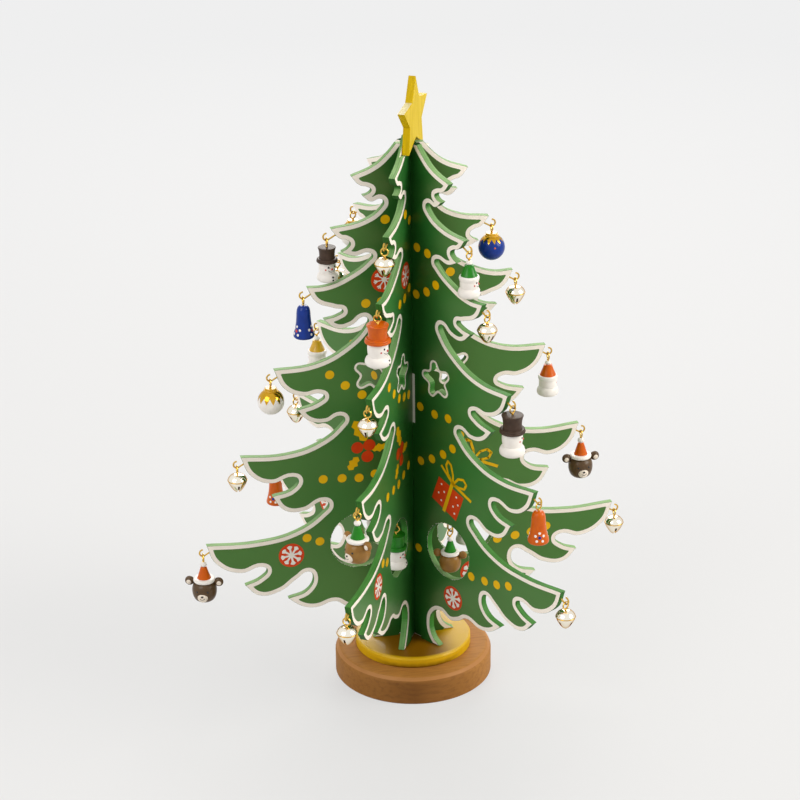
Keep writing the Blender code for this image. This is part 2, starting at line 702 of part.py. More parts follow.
clear_scene()
tree_parts = new_collection("tabletop_christmas_tree")
cutters = new_collection("cutters")
ornament_meshes = {}
make_plinth()
make_disc()
make_boards()
make_star()
make_ornaments()
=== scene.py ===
# %% [markdown]
# A tabletop christmas tree of painted boards
#
# The real thing is a small wooden tree: three flat boards slotted together on a turned base, a star on
# top, and 36 painted ornaments that swing on wire hooks. The CAD model gives every place and size, in
# metres. This lesson builds the looks over it: the printed boards, the wire, the enamel paint and the
# turned wood.

import json
import math

import bmesh
import bpy
import numpy as np
from mathutils import Matrix, Vector
from mathutils.geometry import interpolate_bezier
from mathutils.kdtree import KDTree


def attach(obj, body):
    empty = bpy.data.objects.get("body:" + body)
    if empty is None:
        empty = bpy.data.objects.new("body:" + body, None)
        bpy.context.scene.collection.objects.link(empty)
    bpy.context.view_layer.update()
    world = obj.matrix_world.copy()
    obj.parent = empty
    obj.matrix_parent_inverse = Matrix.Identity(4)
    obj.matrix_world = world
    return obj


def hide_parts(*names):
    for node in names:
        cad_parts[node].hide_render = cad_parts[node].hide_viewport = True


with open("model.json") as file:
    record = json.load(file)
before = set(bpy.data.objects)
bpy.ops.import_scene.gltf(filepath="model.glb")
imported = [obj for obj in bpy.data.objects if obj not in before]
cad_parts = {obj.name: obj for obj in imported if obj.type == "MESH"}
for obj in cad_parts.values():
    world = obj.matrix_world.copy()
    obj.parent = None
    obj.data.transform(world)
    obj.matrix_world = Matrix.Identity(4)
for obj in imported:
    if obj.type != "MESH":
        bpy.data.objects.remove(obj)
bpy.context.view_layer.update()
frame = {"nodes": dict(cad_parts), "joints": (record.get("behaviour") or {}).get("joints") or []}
scene = bpy.context.scene
MM = 0.001

# %% [markdown]
# The camera comes first, because it decides which details matter. The photograph was taken with a long
# lens from above eye level. The place and the turn below were fitted to the bough tips of all six wings,
# so that a point on the model lands on its point in the photograph.

# %% Camera
CAMERA_PLACE = (-0.2459, -1.0553, 0.6072)
CAMERA_RIGHT = (0.9740, -0.2261, -0.0093)
CAMERA_UP = (0.0975, 0.3820, 0.9190)
CAMERA_BACK = (-0.2042, -0.8960, 0.3942)
camera_data = bpy.data.cameras.new("camera")
camera_data.sensor_width = 36
camera_data.lens = 112.73
camera_data.clip_start = 0.05
camera_data.clip_end = 30
camera = bpy.data.objects.new("camera", camera_data)
scene.collection.objects.link(camera)
turn = Matrix((CAMERA_RIGHT, CAMERA_UP, CAMERA_BACK)).transposed().to_4x4()
camera.matrix_world = Matrix.Translation(CAMERA_PLACE) @ turn
scene.camera = camera
scene.view_settings.view_transform = "Standard"
print("Camera at", [round(x, 3) for x in camera.matrix_world.translation])

# %% [markdown]
# Colours are picked as hex values, which are made for screens. Blender mixes light in linear numbers, so
# one function turns the first into the second. A few small functions add shader nodes, so that the
# materials below stay short: any node, a ramp that turns one range of numbers into another, and the
# largest of some numbers.

# %% Colours and nodes


def srgb(code):
    """A hex colour such as "#3d6a36" as linear red, green, blue and alpha."""
    parts = [int(code[i : i + 2], 16) / 255 for i in (1, 3, 5)]
    return (*[p / 12.92 if p <= 0.04045 else ((p + 0.055) / 1.055) ** 2.4 for p in parts], 1.0)


def add_node(owner, kind, inputs=None, **settings):
    """Add a shader node and give its outputs. Each input is a value, or another node's output to link."""
    node = owner.node_tree.nodes.new("ShaderNode" + kind)
    for name, setting in settings.items():
        setattr(node, name, setting)
    for socket, given in (inputs or {}).items():
        if isinstance(given, bpy.types.NodeSocket):
            owner.node_tree.links.new(given, node.inputs[socket])
        else:
            node.inputs[socket].default_value = given
    return node.outputs


def noise(owner, place, scale, detail):
    return add_node(owner, "TexNoise", {"Vector": place, "Scale": scale, "Detail": detail})["Fac"]


def join(owner, output, node, socket):
    """Link an output to a socket of a node that Blender made, found by its name."""
    owner.node_tree.links.new(output, owner.node_tree.nodes[node].inputs[socket])


def ramp(owner, value, start, end, low=0.0, high=1.0, way="LINEAR"):
    """A number that goes from low to high while value goes from start to end."""
    inputs = {"Value": value, "From Min": start, "From Max": end, "To Min": low, "To Max": high}
    return add_node(owner, "MapRange", inputs, interpolation_type=way)["Result"]


def largest(owner, first, *others):
    for other in others:
        first = add_node(owner, "Math", {0: first, 1: other}, operation="MAXIMUM")[0]
    return first


def mixed(owner, share, first, second):
    """The first colour where share is 0, the second where it is 1."""
    return add_node(owner, "Mix", {"Factor": share, "A": first, "B": second}, data_type="RGBA")["Result"]


print("Mid grey is", srgb("#808080"))

# %% [markdown]
# The studio is a white table that runs on behind the tree. A very large plane with soft edges out of view
# does the job of the table and the backdrop. The world gives even light from all sides, as white walls do.
# It is weakest low down behind the camera, where the photographer stands, so the front of the base falls
# into shade. What the camera sees, straight or mirrored in a shiny thing, is the even white of the
# backdrop.

# %% World light
world = bpy.data.worlds.new("white_studio")
world.use_nodes = True
scene.world = world
BACKDROP = "#EFEFEF"
TOWARD_DARK = (0.1, -0.84, -0.53)
direction = add_node(world, "TexCoord")["Generated"]
toward_dark = add_node(world, "VectorMath", {0: direction, 1: TOWARD_DARK}, operation="DOT_PRODUCT")["Value"]
join(world, ramp(world, toward_dark, -0.5, 0.95, 0.74, 0.08), "Background", "Strength")
walls = world.node_tree.nodes["Background"]
walls.inputs["Color"].default_value = (1.0, 0.99, 0.97, 1)
path = add_node(world, "LightPath")
seen = largest(world, path["Is Camera Ray"], path["Is Glossy Ray"])
backdrop = add_node(world, "Background", {"Color": srgb(BACKDROP), "Strength": 1.0})[0]
chosen = add_node(world, "MixShader", {0: seen, 1: walls.outputs[0], 2: backdrop})[0]
join(world, chosen, "World Output", "Surface")
print("World light set")

# %% [markdown]
# Three soft boxes stand for the studio lamps of the photograph: a warm one to the right, which lights the
# disc and the right-hand boards, one high on the left in front, and one above and behind. Each is a square
# area lamp that points at the tree's axis.

# %% Soft boxes
SOFT_BOX_WIDTH = 0.9
for name, place, aim_height, watts, colour in (
    ("soft_box_right", (1.30, -0.64, 0.95), 0.12, 20, (1.0, 0.97, 0.90)),
    ("soft_box_left", (-1.1, -0.75, 1.1), 0.15, 10, (1.0, 0.99, 0.96)),
    ("soft_box_back", (0.32, 1.2, 0.80), 0.1, 13, (1.0, 0.98, 0.94)),
):
    lamp_data = bpy.data.lights.new(name, "AREA")
    lamp_data.shape = "SQUARE"
    lamp_data.size = SOFT_BOX_WIDTH
    lamp_data.energy = watts
    lamp_data.color = colour
    lamp = bpy.data.objects.new(name, lamp_data)
    scene.collection.objects.link(lamp)
    away = Vector(place) - Vector((0, 0, aim_height))
    lamp.matrix_world = Matrix.Translation(place) @ away.to_track_quat("Z", "Y").to_matrix().to_4x4()
print("Soft boxes:", len(bpy.data.lights))

# %% [markdown]
# The table is a white laminate. It catches the tree's soft shadow. Product photographs are lit so that the
# ground comes out as one even white. So near the tree, what is seen of the table is about five parts of
# the backdrop's white and three of the lit laminate, which keep the shadow. The white's share rises with
# the distance. Light that only bounces off the table comes from the plain laminate.

# %% Table
table_finish = bpy.data.materials.new("white_laminate")
table_finish.use_nodes = True
table_shader = table_finish.node_tree.nodes["Principled BSDF"]
table_shader.inputs["Roughness"].default_value = 0.6
table_shader.inputs["Specular IOR Level"].default_value = 0.1
table_place = add_node(table_finish, "TexCoord")["Object"]
table_tone = mixed(table_finish, noise(table_finish, table_place, 1.5, 1.0), srgb("#C9C8C8"), srgb("#CCCBCA"))
join(table_finish, table_tone, "Principled BSDF", "Base Color")
table_path = add_node(table_finish, "LightPath")
table_rays = [table_path[f"Is {kind} Ray"] for kind in ("Camera", "Glossy", "Transmission")]
table_far = add_node(table_finish, "VectorMath", {0: table_place}, operation="LENGTH")["Value"]
white_part = ramp(table_finish, table_far, 0.2, 1.2, 0.63, 1.0)
white_factors = {0: largest(table_finish, *table_rays), 1: white_part}
white_share = add_node(table_finish, "Math", white_factors, operation="MULTIPLY")[0]
table_white = add_node(table_finish, "Emission", {"Color": srgb(BACKDROP), "Strength": 1.0})[0]
table_parts = {0: white_share, 1: table_shader.outputs[0], 2: table_white}
table_mix = add_node(table_finish, "MixShader", table_parts)[0]
join(table_finish, table_mix, "Material Output", "Surface")
table_mesh = bpy.data.meshes.new("table")
table_mesh.from_pydata([(-9, -9, 0), (9, -9, 0), (9, 9, 0), (-9, 9, 0)], [], [(0, 1, 2, 3)])
table = bpy.data.objects.new("table", table_mesh)
table_mesh.materials.append(table_finish)
scene.collection.objects.link(table)
print("Table laid")

# %% [markdown]
# Most surfaces here are paint: a colour that drifts a little from place to place, over a skin that is not
# quite flat. One recipe gives both. A noise texture picks between two tones, and a finer one lifts the
# surface. Sizes are given in millimetres and turned into the noise's scale, which counts repeats per metre.
# Where the boards keep light from the middle of the tree, a piece can also get painted shade: its colour is
# multiplied by a deeper one there.

# %% Paint recipe


def per_metre(size_mm):
    """The scale at which a noise's blotches are about this large."""
    return 1 / (size_mm * MM)


def painted(name, dark, light, blotch_mm, roughness, skin_mm, depth_mm, coat=0.0, metallic=0.0, shine=0.2):
    """A brushed or sprayed paint film between two tones, with a fine uneven skin."""
    material = bpy.data.materials.new(name)
    material.use_nodes = True
    shader = material.node_tree.nodes["Principled BSDF"].inputs
    shader["Roughness"].default_value = roughness
    shader["Metallic"].default_value = metallic
    shader["Coat Weight"].default_value = coat
    shader["Coat Roughness"].default_value = 0.12
    shader["Specular IOR Level"].default_value = shine
    place = add_node(material, "TexCoord")["Object"]
    cloud = noise(material, place, per_metre(blotch_mm), 3.0)
    skin = noise(material, place, per_metre(skin_mm), 2.0)
    bump = add_node(material, "Bump", {"Strength": 0.5, "Distance": depth_mm * MM, "Height": skin})["Normal"]
    join(material, mixed(material, cloud, srgb(dark), srgb(light)), "Principled BSDF", "Base Color")
    join(material, bump, "Principled BSDF", "Normal")
    return material


def own_place(material):
    """The surface's place in its piece's own frame."""
    return material.node_tree.nodes["Texture Coordinate"].outputs["Object"]


def grain(material, stretch, detail):
    """A noise drawn out along one way, from how often it repeats a metre along X, Y and Z."""
    place = add_node(material, "Mapping", {"Scale": stretch, "Vector": own_place(material)})["Vector"]
    return noise(material, place, 1.0, detail)


def side_distance(material, shift=0.0):
    """How far a place is from the plane across its piece's X at -shift."""
    x = add_node(material, "SeparateXYZ", {0: own_place(material)})["X"]
    moved = add_node(material, "Math", {0: x, 1: shift}, operation="ADD")[0]
    return add_node(material, "Math", {0: moved}, operation="ABSOLUTE")[0]


def shaded(material, amount, deep):
    """Painted shade: multiply a finish's colour by deep where amount is 0, and leave it where amount is 1."""
    before = material.node_tree.nodes["Principled BSDF"].inputs["Base Color"].links[0].from_socket
    depth = mixed(material, amount, srgb(deep), srgb("#FFFFFF"))
    tone = add_node(material, "VectorMath", {0: before, 1: depth}, operation="MULTIPLY")["Vector"]
    join(material, tone, "Principled BSDF", "Base Color")


print("Blotches of 4 mm repeat", per_metre(4), "times a metre")

# %% [markdown]
# The boards' faces are screen printed: a green ink, a warm white ink along the outline, then yellow, red and
# white motifs. The ink dries to a smooth satin film, so the skin is shallow. The green one mirrors the white
# studio with a warm tint. Near the tree's axis, where the boards shade each other, a painted shade deepens
# it.

# %% Inks
green_ink = painted("green_screen_ink", "#2E6D31", "#3A7D3B", 38, 0.36, 0.7, 0.008, shine=0.7)
green_ink.node_tree.nodes["Principled BSDF"].inputs["Specular Tint"].default_value = srgb("#FFD0A0")
# Painted shade: deeper green near the tree's axis, where the boards shade each other.
shaded(green_ink, ramp(green_ink, side_distance(green_ink), 3 * MM, 34 * MM, way="SMOOTHSTEP"), "#7CBF9C")
white_ink = painted("warm_white_screen_ink", "#FBEFE4", "#FFF6EC", 12, 0.45, 0.7, 0.008)
yellow_ink = painted("yellow_screen_ink", "#E6AE00", "#F2C004", 5, 0.42, 0.6, 0.008)
red_ink = painted("red_screen_ink", "#CF3208", "#E24C14", 6, 0.42, 0.6, 0.008)
snow_ink = painted("snow_screen_ink", "#F0E8E0", "#FAF4EE", 6, 0.42, 0.6, 0.008)
print("Inks:", green_ink.name, white_ink.name, yellow_ink.name, red_ink.name, snow_ink.name)

# %% [markdown]
# Plywood of 3 mm has three plies of about 1 mm. In the board's own frame Y runs through the thickness, so
# stretching a noise along the cut and squeezing it across the plies draws them as lines. The cut edges are
# dyed green. The edges that face up get a painted highlight, a pale tone for the light from above, which is
# weak at the ends of the two front wings, and those that face down get a painted shade. The surface's own
# direction and place tell them apart. The slots' walls, between the crossing boards, are a dark green that
# stands for the shade there.

# %% Dyed plywood edge and painted light
dyed_edge_and_painted_light = painted("green_dyed_plywood_edge_and_painted_light", "#22741A", "#529A40", 9, 0.6, 0.25, 0.05)
plies = grain(dyed_edge_and_painted_light, (60, 1900, 60), 2.0)
surface = add_node(dyed_edge_and_painted_light, "NewGeometry")
upward = add_node(dyed_edge_and_painted_light, "SeparateXYZ", {"Vector": surface["Normal"]})["Z"]
backward = add_node(dyed_edge_and_painted_light, "SeparateXYZ", {"Vector": surface["Position"]})["Y"]
# Painted light: up-facing edges are paled towards #9AC480 as a highlight, less towards the front, and
# down-facing edges get a painted shade.
palest = ramp(dyed_edge_and_painted_light, backward, -46 * MM, -16 * MM, 0.1, 1.0)
dye = dyed_edge_and_painted_light.node_tree.nodes["Mix"].outputs["Result"]
paled = mixed(dyed_edge_and_painted_light, ramp(dyed_edge_and_painted_light, upward, 0.15, 0.95, 0.0, palest), dye, srgb("#9AC480"))
underside = ramp(dyed_edge_and_painted_light, upward, -0.9, -0.1, 0.4, 1.0)
ply_depth = ramp(dyed_edge_and_painted_light, plies, 0.3, 0.7, 0.56, 0.94)
depth = add_node(dyed_edge_and_painted_light, "Math", {0: underside, 1: ply_depth}, operation="MULTIPLY")[0]
edge_colour = add_node(dyed_edge_and_painted_light, "VectorMath", {0: paled, "Scale": depth}, operation="SCALE")["Vector"]
join(dyed_edge_and_painted_light, edge_colour, "Principled BSDF", "Base Color")
# Painted shade: the slots' walls between the crossing boards get a dark green.
slot_painted_shade = painted("dark_green_slot_painted_shade", "#123A16", "#1A481F", 6, 0.8, 0.4, 0.03, shine=0.05)
print("Edge finishes:", dyed_edge_and_painted_light.name, slot_painted_shade.name)

# %% [markdown]
# The outline of a wing is a row of points that a smooth curve passes through. The same shares as in the
# CAD model give the same boughs, and this time each curve is cut finer. Points and tips stay sharp, and
# hooks hang at the tips.

# %% Wing outline
BOUGH_RADIUS = 100 * MM
CROWN_HEIGHT = 251.3 * MM
DISC_TOP = 19.1 * MM
FOOT_HEIGHT = 19.4 * MM
TAB_BOTTOM = 14.8 * MM
APEX_HEIGHT = DISC_TOP + CROWN_HEIGHT
APEX_RELIEF = 1.2 * MM
RAISED_LIFT = 4.9 * MM
BOARD_THICKNESS = 3.0 * MM
SLOT_HALF_WIDTH = 2.63 * MM
SLOT_PLAY = 0.15 * MM
LOW_CROSSING = DISC_TOP + 111.0 * MM
HIGH_CROSSING = DISC_TOP + 167.0 * MM
WING_SHARES = (
    (0.095, 0.981), (0.160, 0.958), (0.272, 0.940, "point"), (0.235, 0.923), (0.197, 0.918),
    (0.180, 0.912), (0.190, 0.906), (0.222, 0.902, "point"), (0.182, 0.890), (0.138, 0.894),
    (0.122, 0.887), (0.136, 0.876), (0.216, 0.855), (0.371, 0.844, "tip"), (0.332, 0.825), (0.299, 0.821),
    (0.280, 0.813), (0.292, 0.805), (0.323, 0.798, "point"), (0.265, 0.789), (0.196, 0.793),
    (0.177, 0.786), (0.196, 0.776), (0.288, 0.751), (0.398, 0.735), (0.487, 0.735, "tip"), (0.445, 0.706),
    (0.360, 0.691), (0.320, 0.684), (0.345, 0.676), (0.412, 0.670, "point"), (0.350, 0.651),
    (0.280, 0.655), (0.223, 0.669), (0.202, 0.662), (0.215, 0.648), (0.310, 0.611), (0.455, 0.584),
    (0.651, 0.579, "tip"), (0.605, 0.541), (0.515, 0.523), (0.440, 0.525), (0.416, 0.518), (0.440, 0.508),
    (0.548, 0.495, "point"), (0.488, 0.471), (0.410, 0.466), (0.345, 0.476), (0.322, 0.469),
    (0.340, 0.456), (0.452, 0.423), (0.607, 0.407), (0.822, 0.411, "tip"), (0.775, 0.371), (0.680, 0.352),
    (0.580, 0.361), (0.551, 0.354), (0.575, 0.336), (0.677, 0.324, "point"), (0.620, 0.293),
    (0.530, 0.288), (0.430, 0.304), (0.406, 0.296), (0.441, 0.277), (0.572, 0.245), (0.757, 0.232),
    (1.000, 0.236, "tip"), (0.958, 0.197), (0.840, 0.172), (0.738, 0.180), (0.713, 0.172), (0.745, 0.156),
    (0.822, 0.144, "point"), (0.755, 0.120), (0.655, 0.124), (0.570, 0.147), (0.514, 0.159),
    (0.492, 0.150), (0.515, 0.121), (0.615, 0.106, "point"), (0.545, 0.086), (0.480, 0.081),
    (0.385, 0.089), (0.335, 0.077), (0.275, 0.070), (0.210, 0.080), (0.155, 0.068), (0.134, 0.045),
    (0.152, 0.016),
)
TIPS = [shares for shares in WING_SHARES if "tip" in shares]


def wing_point(shares, lift):
    """Distance from the axis and height of a place on a wing, from its shares."""
    return shares[0] * BOUGH_RADIUS, DISC_TOP + lift + shares[1] * CROWN_HEIGHT


print("Knots in a wing:", len(WING_SHARES), "hooked tips:", len(TIPS))

# %% [markdown]
# A board is two wings back to back. Where boards cross, a slot takes the place of the middle: from below,
# from above, or both. Two short tabs under the foot go through the yellow disc. Only the boughs carry the
# printed white outline; slots, tabs and the foot's underside are plain cuts, so they are kept apart by
# name.

# %% Board outlines
BOARDS = {
    "board_left_right": ("right", 0, LOW_CROSSING - SLOT_PLAY, None),
    "board_front_left": ("front_left", RAISED_LIFT, HIGH_CROSSING - SLOT_PLAY, LOW_CROSSING + SLOT_PLAY),
    "board_front_right": ("front_right", 0, None, HIGH_CROSSING + SLOT_PLAY),
}
WINGS = ("right", "back_right", "back_left", "left", "front_left", "front_right")
WING_ANGLE = math.radians(60)
TAB_INNER = 7.5 * MM
TAB_OUTER = 15 * MM
FOOT_WIDTH = 20 * MM
CROWN_WIDTH = 6.5 * MM


def board_side(wing, lift, slot_from, slot_to):
    """Knots of a board's right-hand side, from its lower middle up: (x, height, sharp, edge kind)."""
    top = APEX_HEIGHT - APEX_RELIEF + lift
    foot = FOOT_HEIGHT + 2 * SLOT_PLAY
    low = [(TAB_INNER, foot), (TAB_INNER, TAB_BOTTOM), (TAB_OUTER, TAB_BOTTOM), (TAB_OUTER, FOOT_HEIGHT)]
    high = [(CROWN_WIDTH, top)]
    if slot_to:
        low = [(SLOT_HALF_WIDTH, slot_to), (SLOT_HALF_WIDTH, foot)] + low
    if slot_from:
        high += [(SLOT_HALF_WIDTH, top), (SLOT_HALF_WIDTH, slot_from)]
    boughs = [(FOOT_WIDTH, FOOT_HEIGHT, True, "bough")]
    boughs += [(*wing_point(shares, lift), len(shares) > 2, "bough") for shares in reversed(WING_SHARES)]
    return [(*place, True, "cut") for place in low] + boughs + [(*place, True, "cut") for place in high]


def closed_outline(side):
    """Both sides of a board as one closed row of knots. Each knot's kind is that of the edge after it."""
    kinds = [knot[3] for knot in side]
    knots = [knot[:3] for knot in side]
    return knots + mirrored(knots), kinds + kinds[-2::-1] + ["cut"]


def mirrored(knots):
    return [(-x, z, sharp) for x, z, sharp in reversed(knots)]


def fine_line(knots, steps=6):
    """Points along a closed curve through these knots, with the number of the knot that each follows."""
    curve = bpy.data.curves.new("line", "CURVE")
    spline = curve.splines.new("BEZIER")
    spline.bezier_points.add(len(knots) - 1)
    spline.use_cyclic_u = True
    for knot, (x, z, is_sharp) in zip(spline.bezier_points, knots):
        knot.co = (x, z, 0)
        knot.handle_left_type = knot.handle_right_type = "VECTOR" if is_sharp else "AUTO"
    holder = bpy.data.objects.new("line", curve)
    scene.collection.objects.link(holder)
    bpy.context.view_layer.update()
    points, numbers = [], []
    ends = list(spline.bezier_points)
    for number, (here, after) in enumerate(zip(ends, ends[1:] + ends[:1])):
        is_straight = knots[number][2] and knots[(number + 1) % len(knots)][2]
        count = 1 if is_straight else steps
        part = interpolate_bezier(here.co, here.handle_right, after.handle_left, after.co, count + 1)
        points += [(p.x, p.y) for p in part[:-1]]
        numbers += [number] * count
    bpy.data.objects.remove(holder)
    bpy.data.curves.remove(curve)
    return points, numbers


outline, kinds = closed_outline(board_side(*BOARDS["board_left_right"]))
print("Outline knots:", len(outline), "points:", len(fine_line(outline)[0]))

# %% [markdown]
# Each wing has two cut-outs, a round window and a small star with soft corners.

# %% Cut-outs
WINDOW_PLACE = (0.263, 0.214)
WINDOW_RADIUS = 14 * MM
STAR_HOLE_PLACE = (0.187, 0.555)
STAR_HOLE_RADIUS = 8.5 * MM
STAR_HOLE_INNER = 0.58 * STAR_HOLE_RADIUS
STAR_HOLE_TURN = math.radians(12)


def star_knots(centre, outer, inner, turn, is_sharp):
    """Knots of a five-pointed star, upright when turn is zero."""
    knots = []
    for step in range(10):
        angle = math.radians(90) + turn + step * math.pi / 5
        radius = inner if step % 2 else outer
        knots.append((centre[0] + radius * math.cos(angle), centre[1] + radius * math.sin(angle), is_sharp))
    return knots


def cut_outs(lift):
    """The four cut-outs of a board as fine closed lines, the two windows first."""
    x, z = wing_point(WINDOW_PLACE, lift)
    steps = [2 * math.pi * i / 12 for i in range(12)]
    window = [(x + WINDOW_RADIUS * math.cos(a), z + WINDOW_RADIUS * math.sin(a), False) for a in steps]
    place = wing_point(STAR_HOLE_PLACE, lift)
    star = star_knots(place, STAR_HOLE_RADIUS, STAR_HOLE_INNER, STAR_HOLE_TURN, False)
    return [fine_line(knots)[0] for knots in (window, mirrored(window), star, mirrored(star))]


print("Cut-outs:", [len(line) for line in cut_outs(0)])

# %% [markdown]
# A flat filled curve makes a plate with holes in one go, and its bevel gives the tiny rounding that
# sanding leaves on a cut board. The curve lies flat, so the mesh is stood up afterwards: X runs along the
# board, Z up, Y through it.

# %% Flat plates


def evaluated_mesh(thing, name):
    """The mesh that an object shows, with its modifiers done."""
    bpy.context.view_layer.update()
    mesh = bpy.data.meshes.new_from_object(thing.evaluated_get(bpy.context.evaluated_depsgraph_get()))
    mesh.name = name
    return mesh


def flat_mesh(name, lines, thickness=0.0, rounding=0.0):
    """A standing plate, or a sheet if it has no thickness, from lines of (x, z). Inner lines are holes."""
    curve = bpy.data.curves.new(name, "CURVE")
    curve.dimensions = "2D"
    curve.fill_mode = "BOTH"
    curve.extrude = max(thickness / 2 - rounding, 0)
    curve.bevel_depth = rounding
    curve.bevel_resolution = 0
    curve.offset = -rounding
    for line in lines:
        spline = curve.splines.new("POLY")
        spline.points.add(len(line) - 1)
        spline.use_cyclic_u = True
        for knot, (x, z) in zip(spline.points, line):
            knot.co = (x, z, 0, 1)
    holder = bpy.data.objects.new(name, curve)
    scene.collection.objects.link(holder)
    mesh = evaluated_mesh(holder, name)
    mesh.transform(Matrix.Rotation(math.radians(90), 4, "X"))
    bpy.data.objects.remove(holder)
    bpy.data.curves.remove(curve)
    return mesh


test_sheet = flat_mesh("test_sheet", cut_outs(0)[:1])
print("A window's disc has", len(test_sheet.vertices), "points")
bpy.data.meshes.remove(test_sheet)

# %% [markdown]
# The green field stops 2 mm from the boughs' edge and 1.2 mm from the star cut-outs. It runs up to the
# windows and the plain cuts. Shrinking an outline by moving its points inwards tangles at every notch. It
# is safer to measure, on a fine grid, how far each place is from the edge, and then to draw the line where
# that distance is right, as contour lines are drawn on a map.

# %% Distance from the edge
GRID = 0.45 * MM
MARGINS = {"bough": 2.05 * MM, "hole": 1.2 * MM, "cut": 0.12 * MM}
WINDOWS = 2


def spread(line, numbers=None, gap=0.12 * MM):
    """Points at most gap apart along a closed line, each with its knot number."""
    found = []
    for i, (start, end) in enumerate(zip(line, line[1:] + line[:1])):
        count = max(1, math.ceil(math.dist(start, end) / gap))
        for step in range(count):
            share = step / count
            place = (start[0] + (end[0] - start[0]) * share, start[1] + (end[1] - start[1]) * share)
            found.append((place, numbers[i] if numbers else 0))
    return found


def tree_of(places):
    """A search tree that gives the nearest of these places."""
    tree = KDTree(len(places))
    for i, (x, z) in enumerate(places):
        tree.insert((x, z, 0), i)
    tree.balance()
    return tree


def inside_mask(lines, xs, zs):
    """For each grid place, whether it lies inside the lines by the even-odd rule."""
    mask = np.zeros((len(zs), len(xs)), bool)
    for line in lines:
        a = np.array(line)
        b = np.roll(a, -1, axis=0)
        for row, z in enumerate(zs):
            hit = (a[:, 1] > z) != (b[:, 1] > z)
            share = (z - a[hit, 1]) / (b[hit, 1] - a[hit, 1])
            crossings = np.sort(a[hit, 0] + share * (b[hit, 0] - a[hit, 0]))
            mask[row] ^= np.searchsorted(crossings, xs) % 2 == 1
    return mask


def field_of(outline, numbers, kinds, holes, extra_cut):
    """How far inside the green field each grid place is, with the grid's x and z places."""
    half = int(103 * MM / GRID)
    xs = np.arange(-half, half + 1) * GRID
    zs = 12 * MM + np.arange(int(268 * MM / GRID)) * GRID
    mask = inside_mask([outline] + holes, xs, zs)
    samples = {kind: [] for kind in MARGINS}
    for place, number in spread(outline, numbers):
        samples[kinds[number]].append(place)
    for number, hole in enumerate(holes):
        samples["cut" if number < WINDOWS else "hole"] += [place for place, _ in spread(hole)]
    if extra_cut:
        mask &= ~inside_mask([extra_cut], xs, zs)
        samples["cut"] += [place for place, _ in spread(extra_cut)]
    trees = [(tree_of(places), MARGINS[kind]) for kind, places in samples.items()]
    near = mask.copy()
    near[1:] |= mask[:-1]
    near[:-1] |= mask[1:]
    near[:, 1:] |= mask[:, :-1]
    near[:, :-1] |= mask[:, 1:]
    field = np.full(mask.shape, -MARGINS["bough"])
    for row, column in zip(*np.nonzero(near)):
        place = (xs[column], zs[row], 0)
        side = 1 if mask[row, column] else -1
        field[row, column] = min(side * tree.find(place)[2] - margin for tree, margin in trees)
    return field, xs, zs


print("Grid of", GRID / MM, "mm")

# %% [markdown]
# The contour is followed cell by cell. In each grid square whose corners disagree, the line enters through
# one side and leaves through another, at the place where the field would be zero. Joined up, the pieces
# close into rings.

# %% Contour lines


def contour(field, xs, zs):
    """Closed lines where the field is zero."""
    rows, columns = field.shape
    above = field > 0
    mixed = np.zeros((rows - 1, columns - 1), bool)
    corner = above[:-1, :-1]
    for other in (above[:-1, 1:], above[1:, 1:], above[1:, :-1]):
        mixed |= corner != other
    follows = {}
    for row, column in zip(*np.nonzero(mixed)):
        corners = [(row, column), (row, column + 1), (row + 1, column + 1), (row + 1, column)]
        ups, downs = [], []
        for start, end in zip(corners, corners[1:] + corners[:1]):
            if above[start] != above[end]:
                side = (min(start, end), max(start, end))
                (downs if above[start] else ups).append(side)
        if len(ups) == 2 and field[row : row + 2, column : column + 2].mean() > 0:
            ups.reverse()
        for down, up in zip(downs, ups):
            follows[down] = up
    lines = []
    while follows:
        side, after = follows.popitem()
        ring = [side]
        while after != ring[0]:
            ring.append(after)
            after = follows.pop(after)
        line = []
        for start, end in ring:
            low, high = field[start], field[end]
            share = low / (low - high)
            x = xs[start[1]] + (xs[end[1]] - xs[start[1]]) * share
            line.append((float(x), float(zs[start[0]] + (zs[end[0]] - zs[start[0]]) * share)))
        if len(line) > 8:
            lines.append(line)
    return lines


print("Contour tracer ready")

# %% [markdown]
# Printed motifs are flat shapes. They are drawn in millimetres on one face, seen from the front: u to the
# right of the axis, z up. Every face has the same print, with the first list on its left half and the
# second on its right. Each shape is a row of its corners, its ink and its layer.

# %% Shapes of the print


def disc_shape(u, z, radius, sides=20):
    steps = [2 * math.pi * i / sides for i in range(sides)]
    return [(u + radius * math.cos(a), z + radius * math.sin(a)) for a in steps]


def stroke_shapes(points, width):
    """A line of even width, as one four-cornered shape for each stretch."""
    shapes = []
    for start, end in zip(points, points[1:]):
        start, end = Vector(start), Vector(end)
        along = (end - start).normalized()
        reach = along * width * 0.18
        side = Vector((-along.y, along.x)) * width / 2
        shapes.append([start - reach + side, start - reach - side, end + reach - side, end + reach + side])
    return shapes


def flake(u, z, radius, arm_width):
    """A red bauble with a snowflake of eight forked arms. Each shape has its own layer, so none flickers."""
    rows = [(disc_shape(u, z, radius, 32), "red", 1), (disc_shape(u, z, radius * 0.2, 12), "snow", 2)]
    middle = Vector((u, z))
    for step in range(8):
        angle = math.radians(10) + step * math.pi / 4
        out = Vector((math.cos(angle), math.sin(angle))) * radius
        fork = middle + out * 0.52
        strokes = [(middle, middle + out * 0.80)]
        for side in (-32, 32):
            strokes.append((fork, fork + Matrix.Rotation(math.radians(side), 2) @ (out * 0.26)))
        rows += [(stroke_shapes(points, arm_width)[0], "snow", 2) for points in strokes]
    return [(shape, ink, layer + 0.12 * number) for number, (shape, ink, layer) in enumerate(rows)]


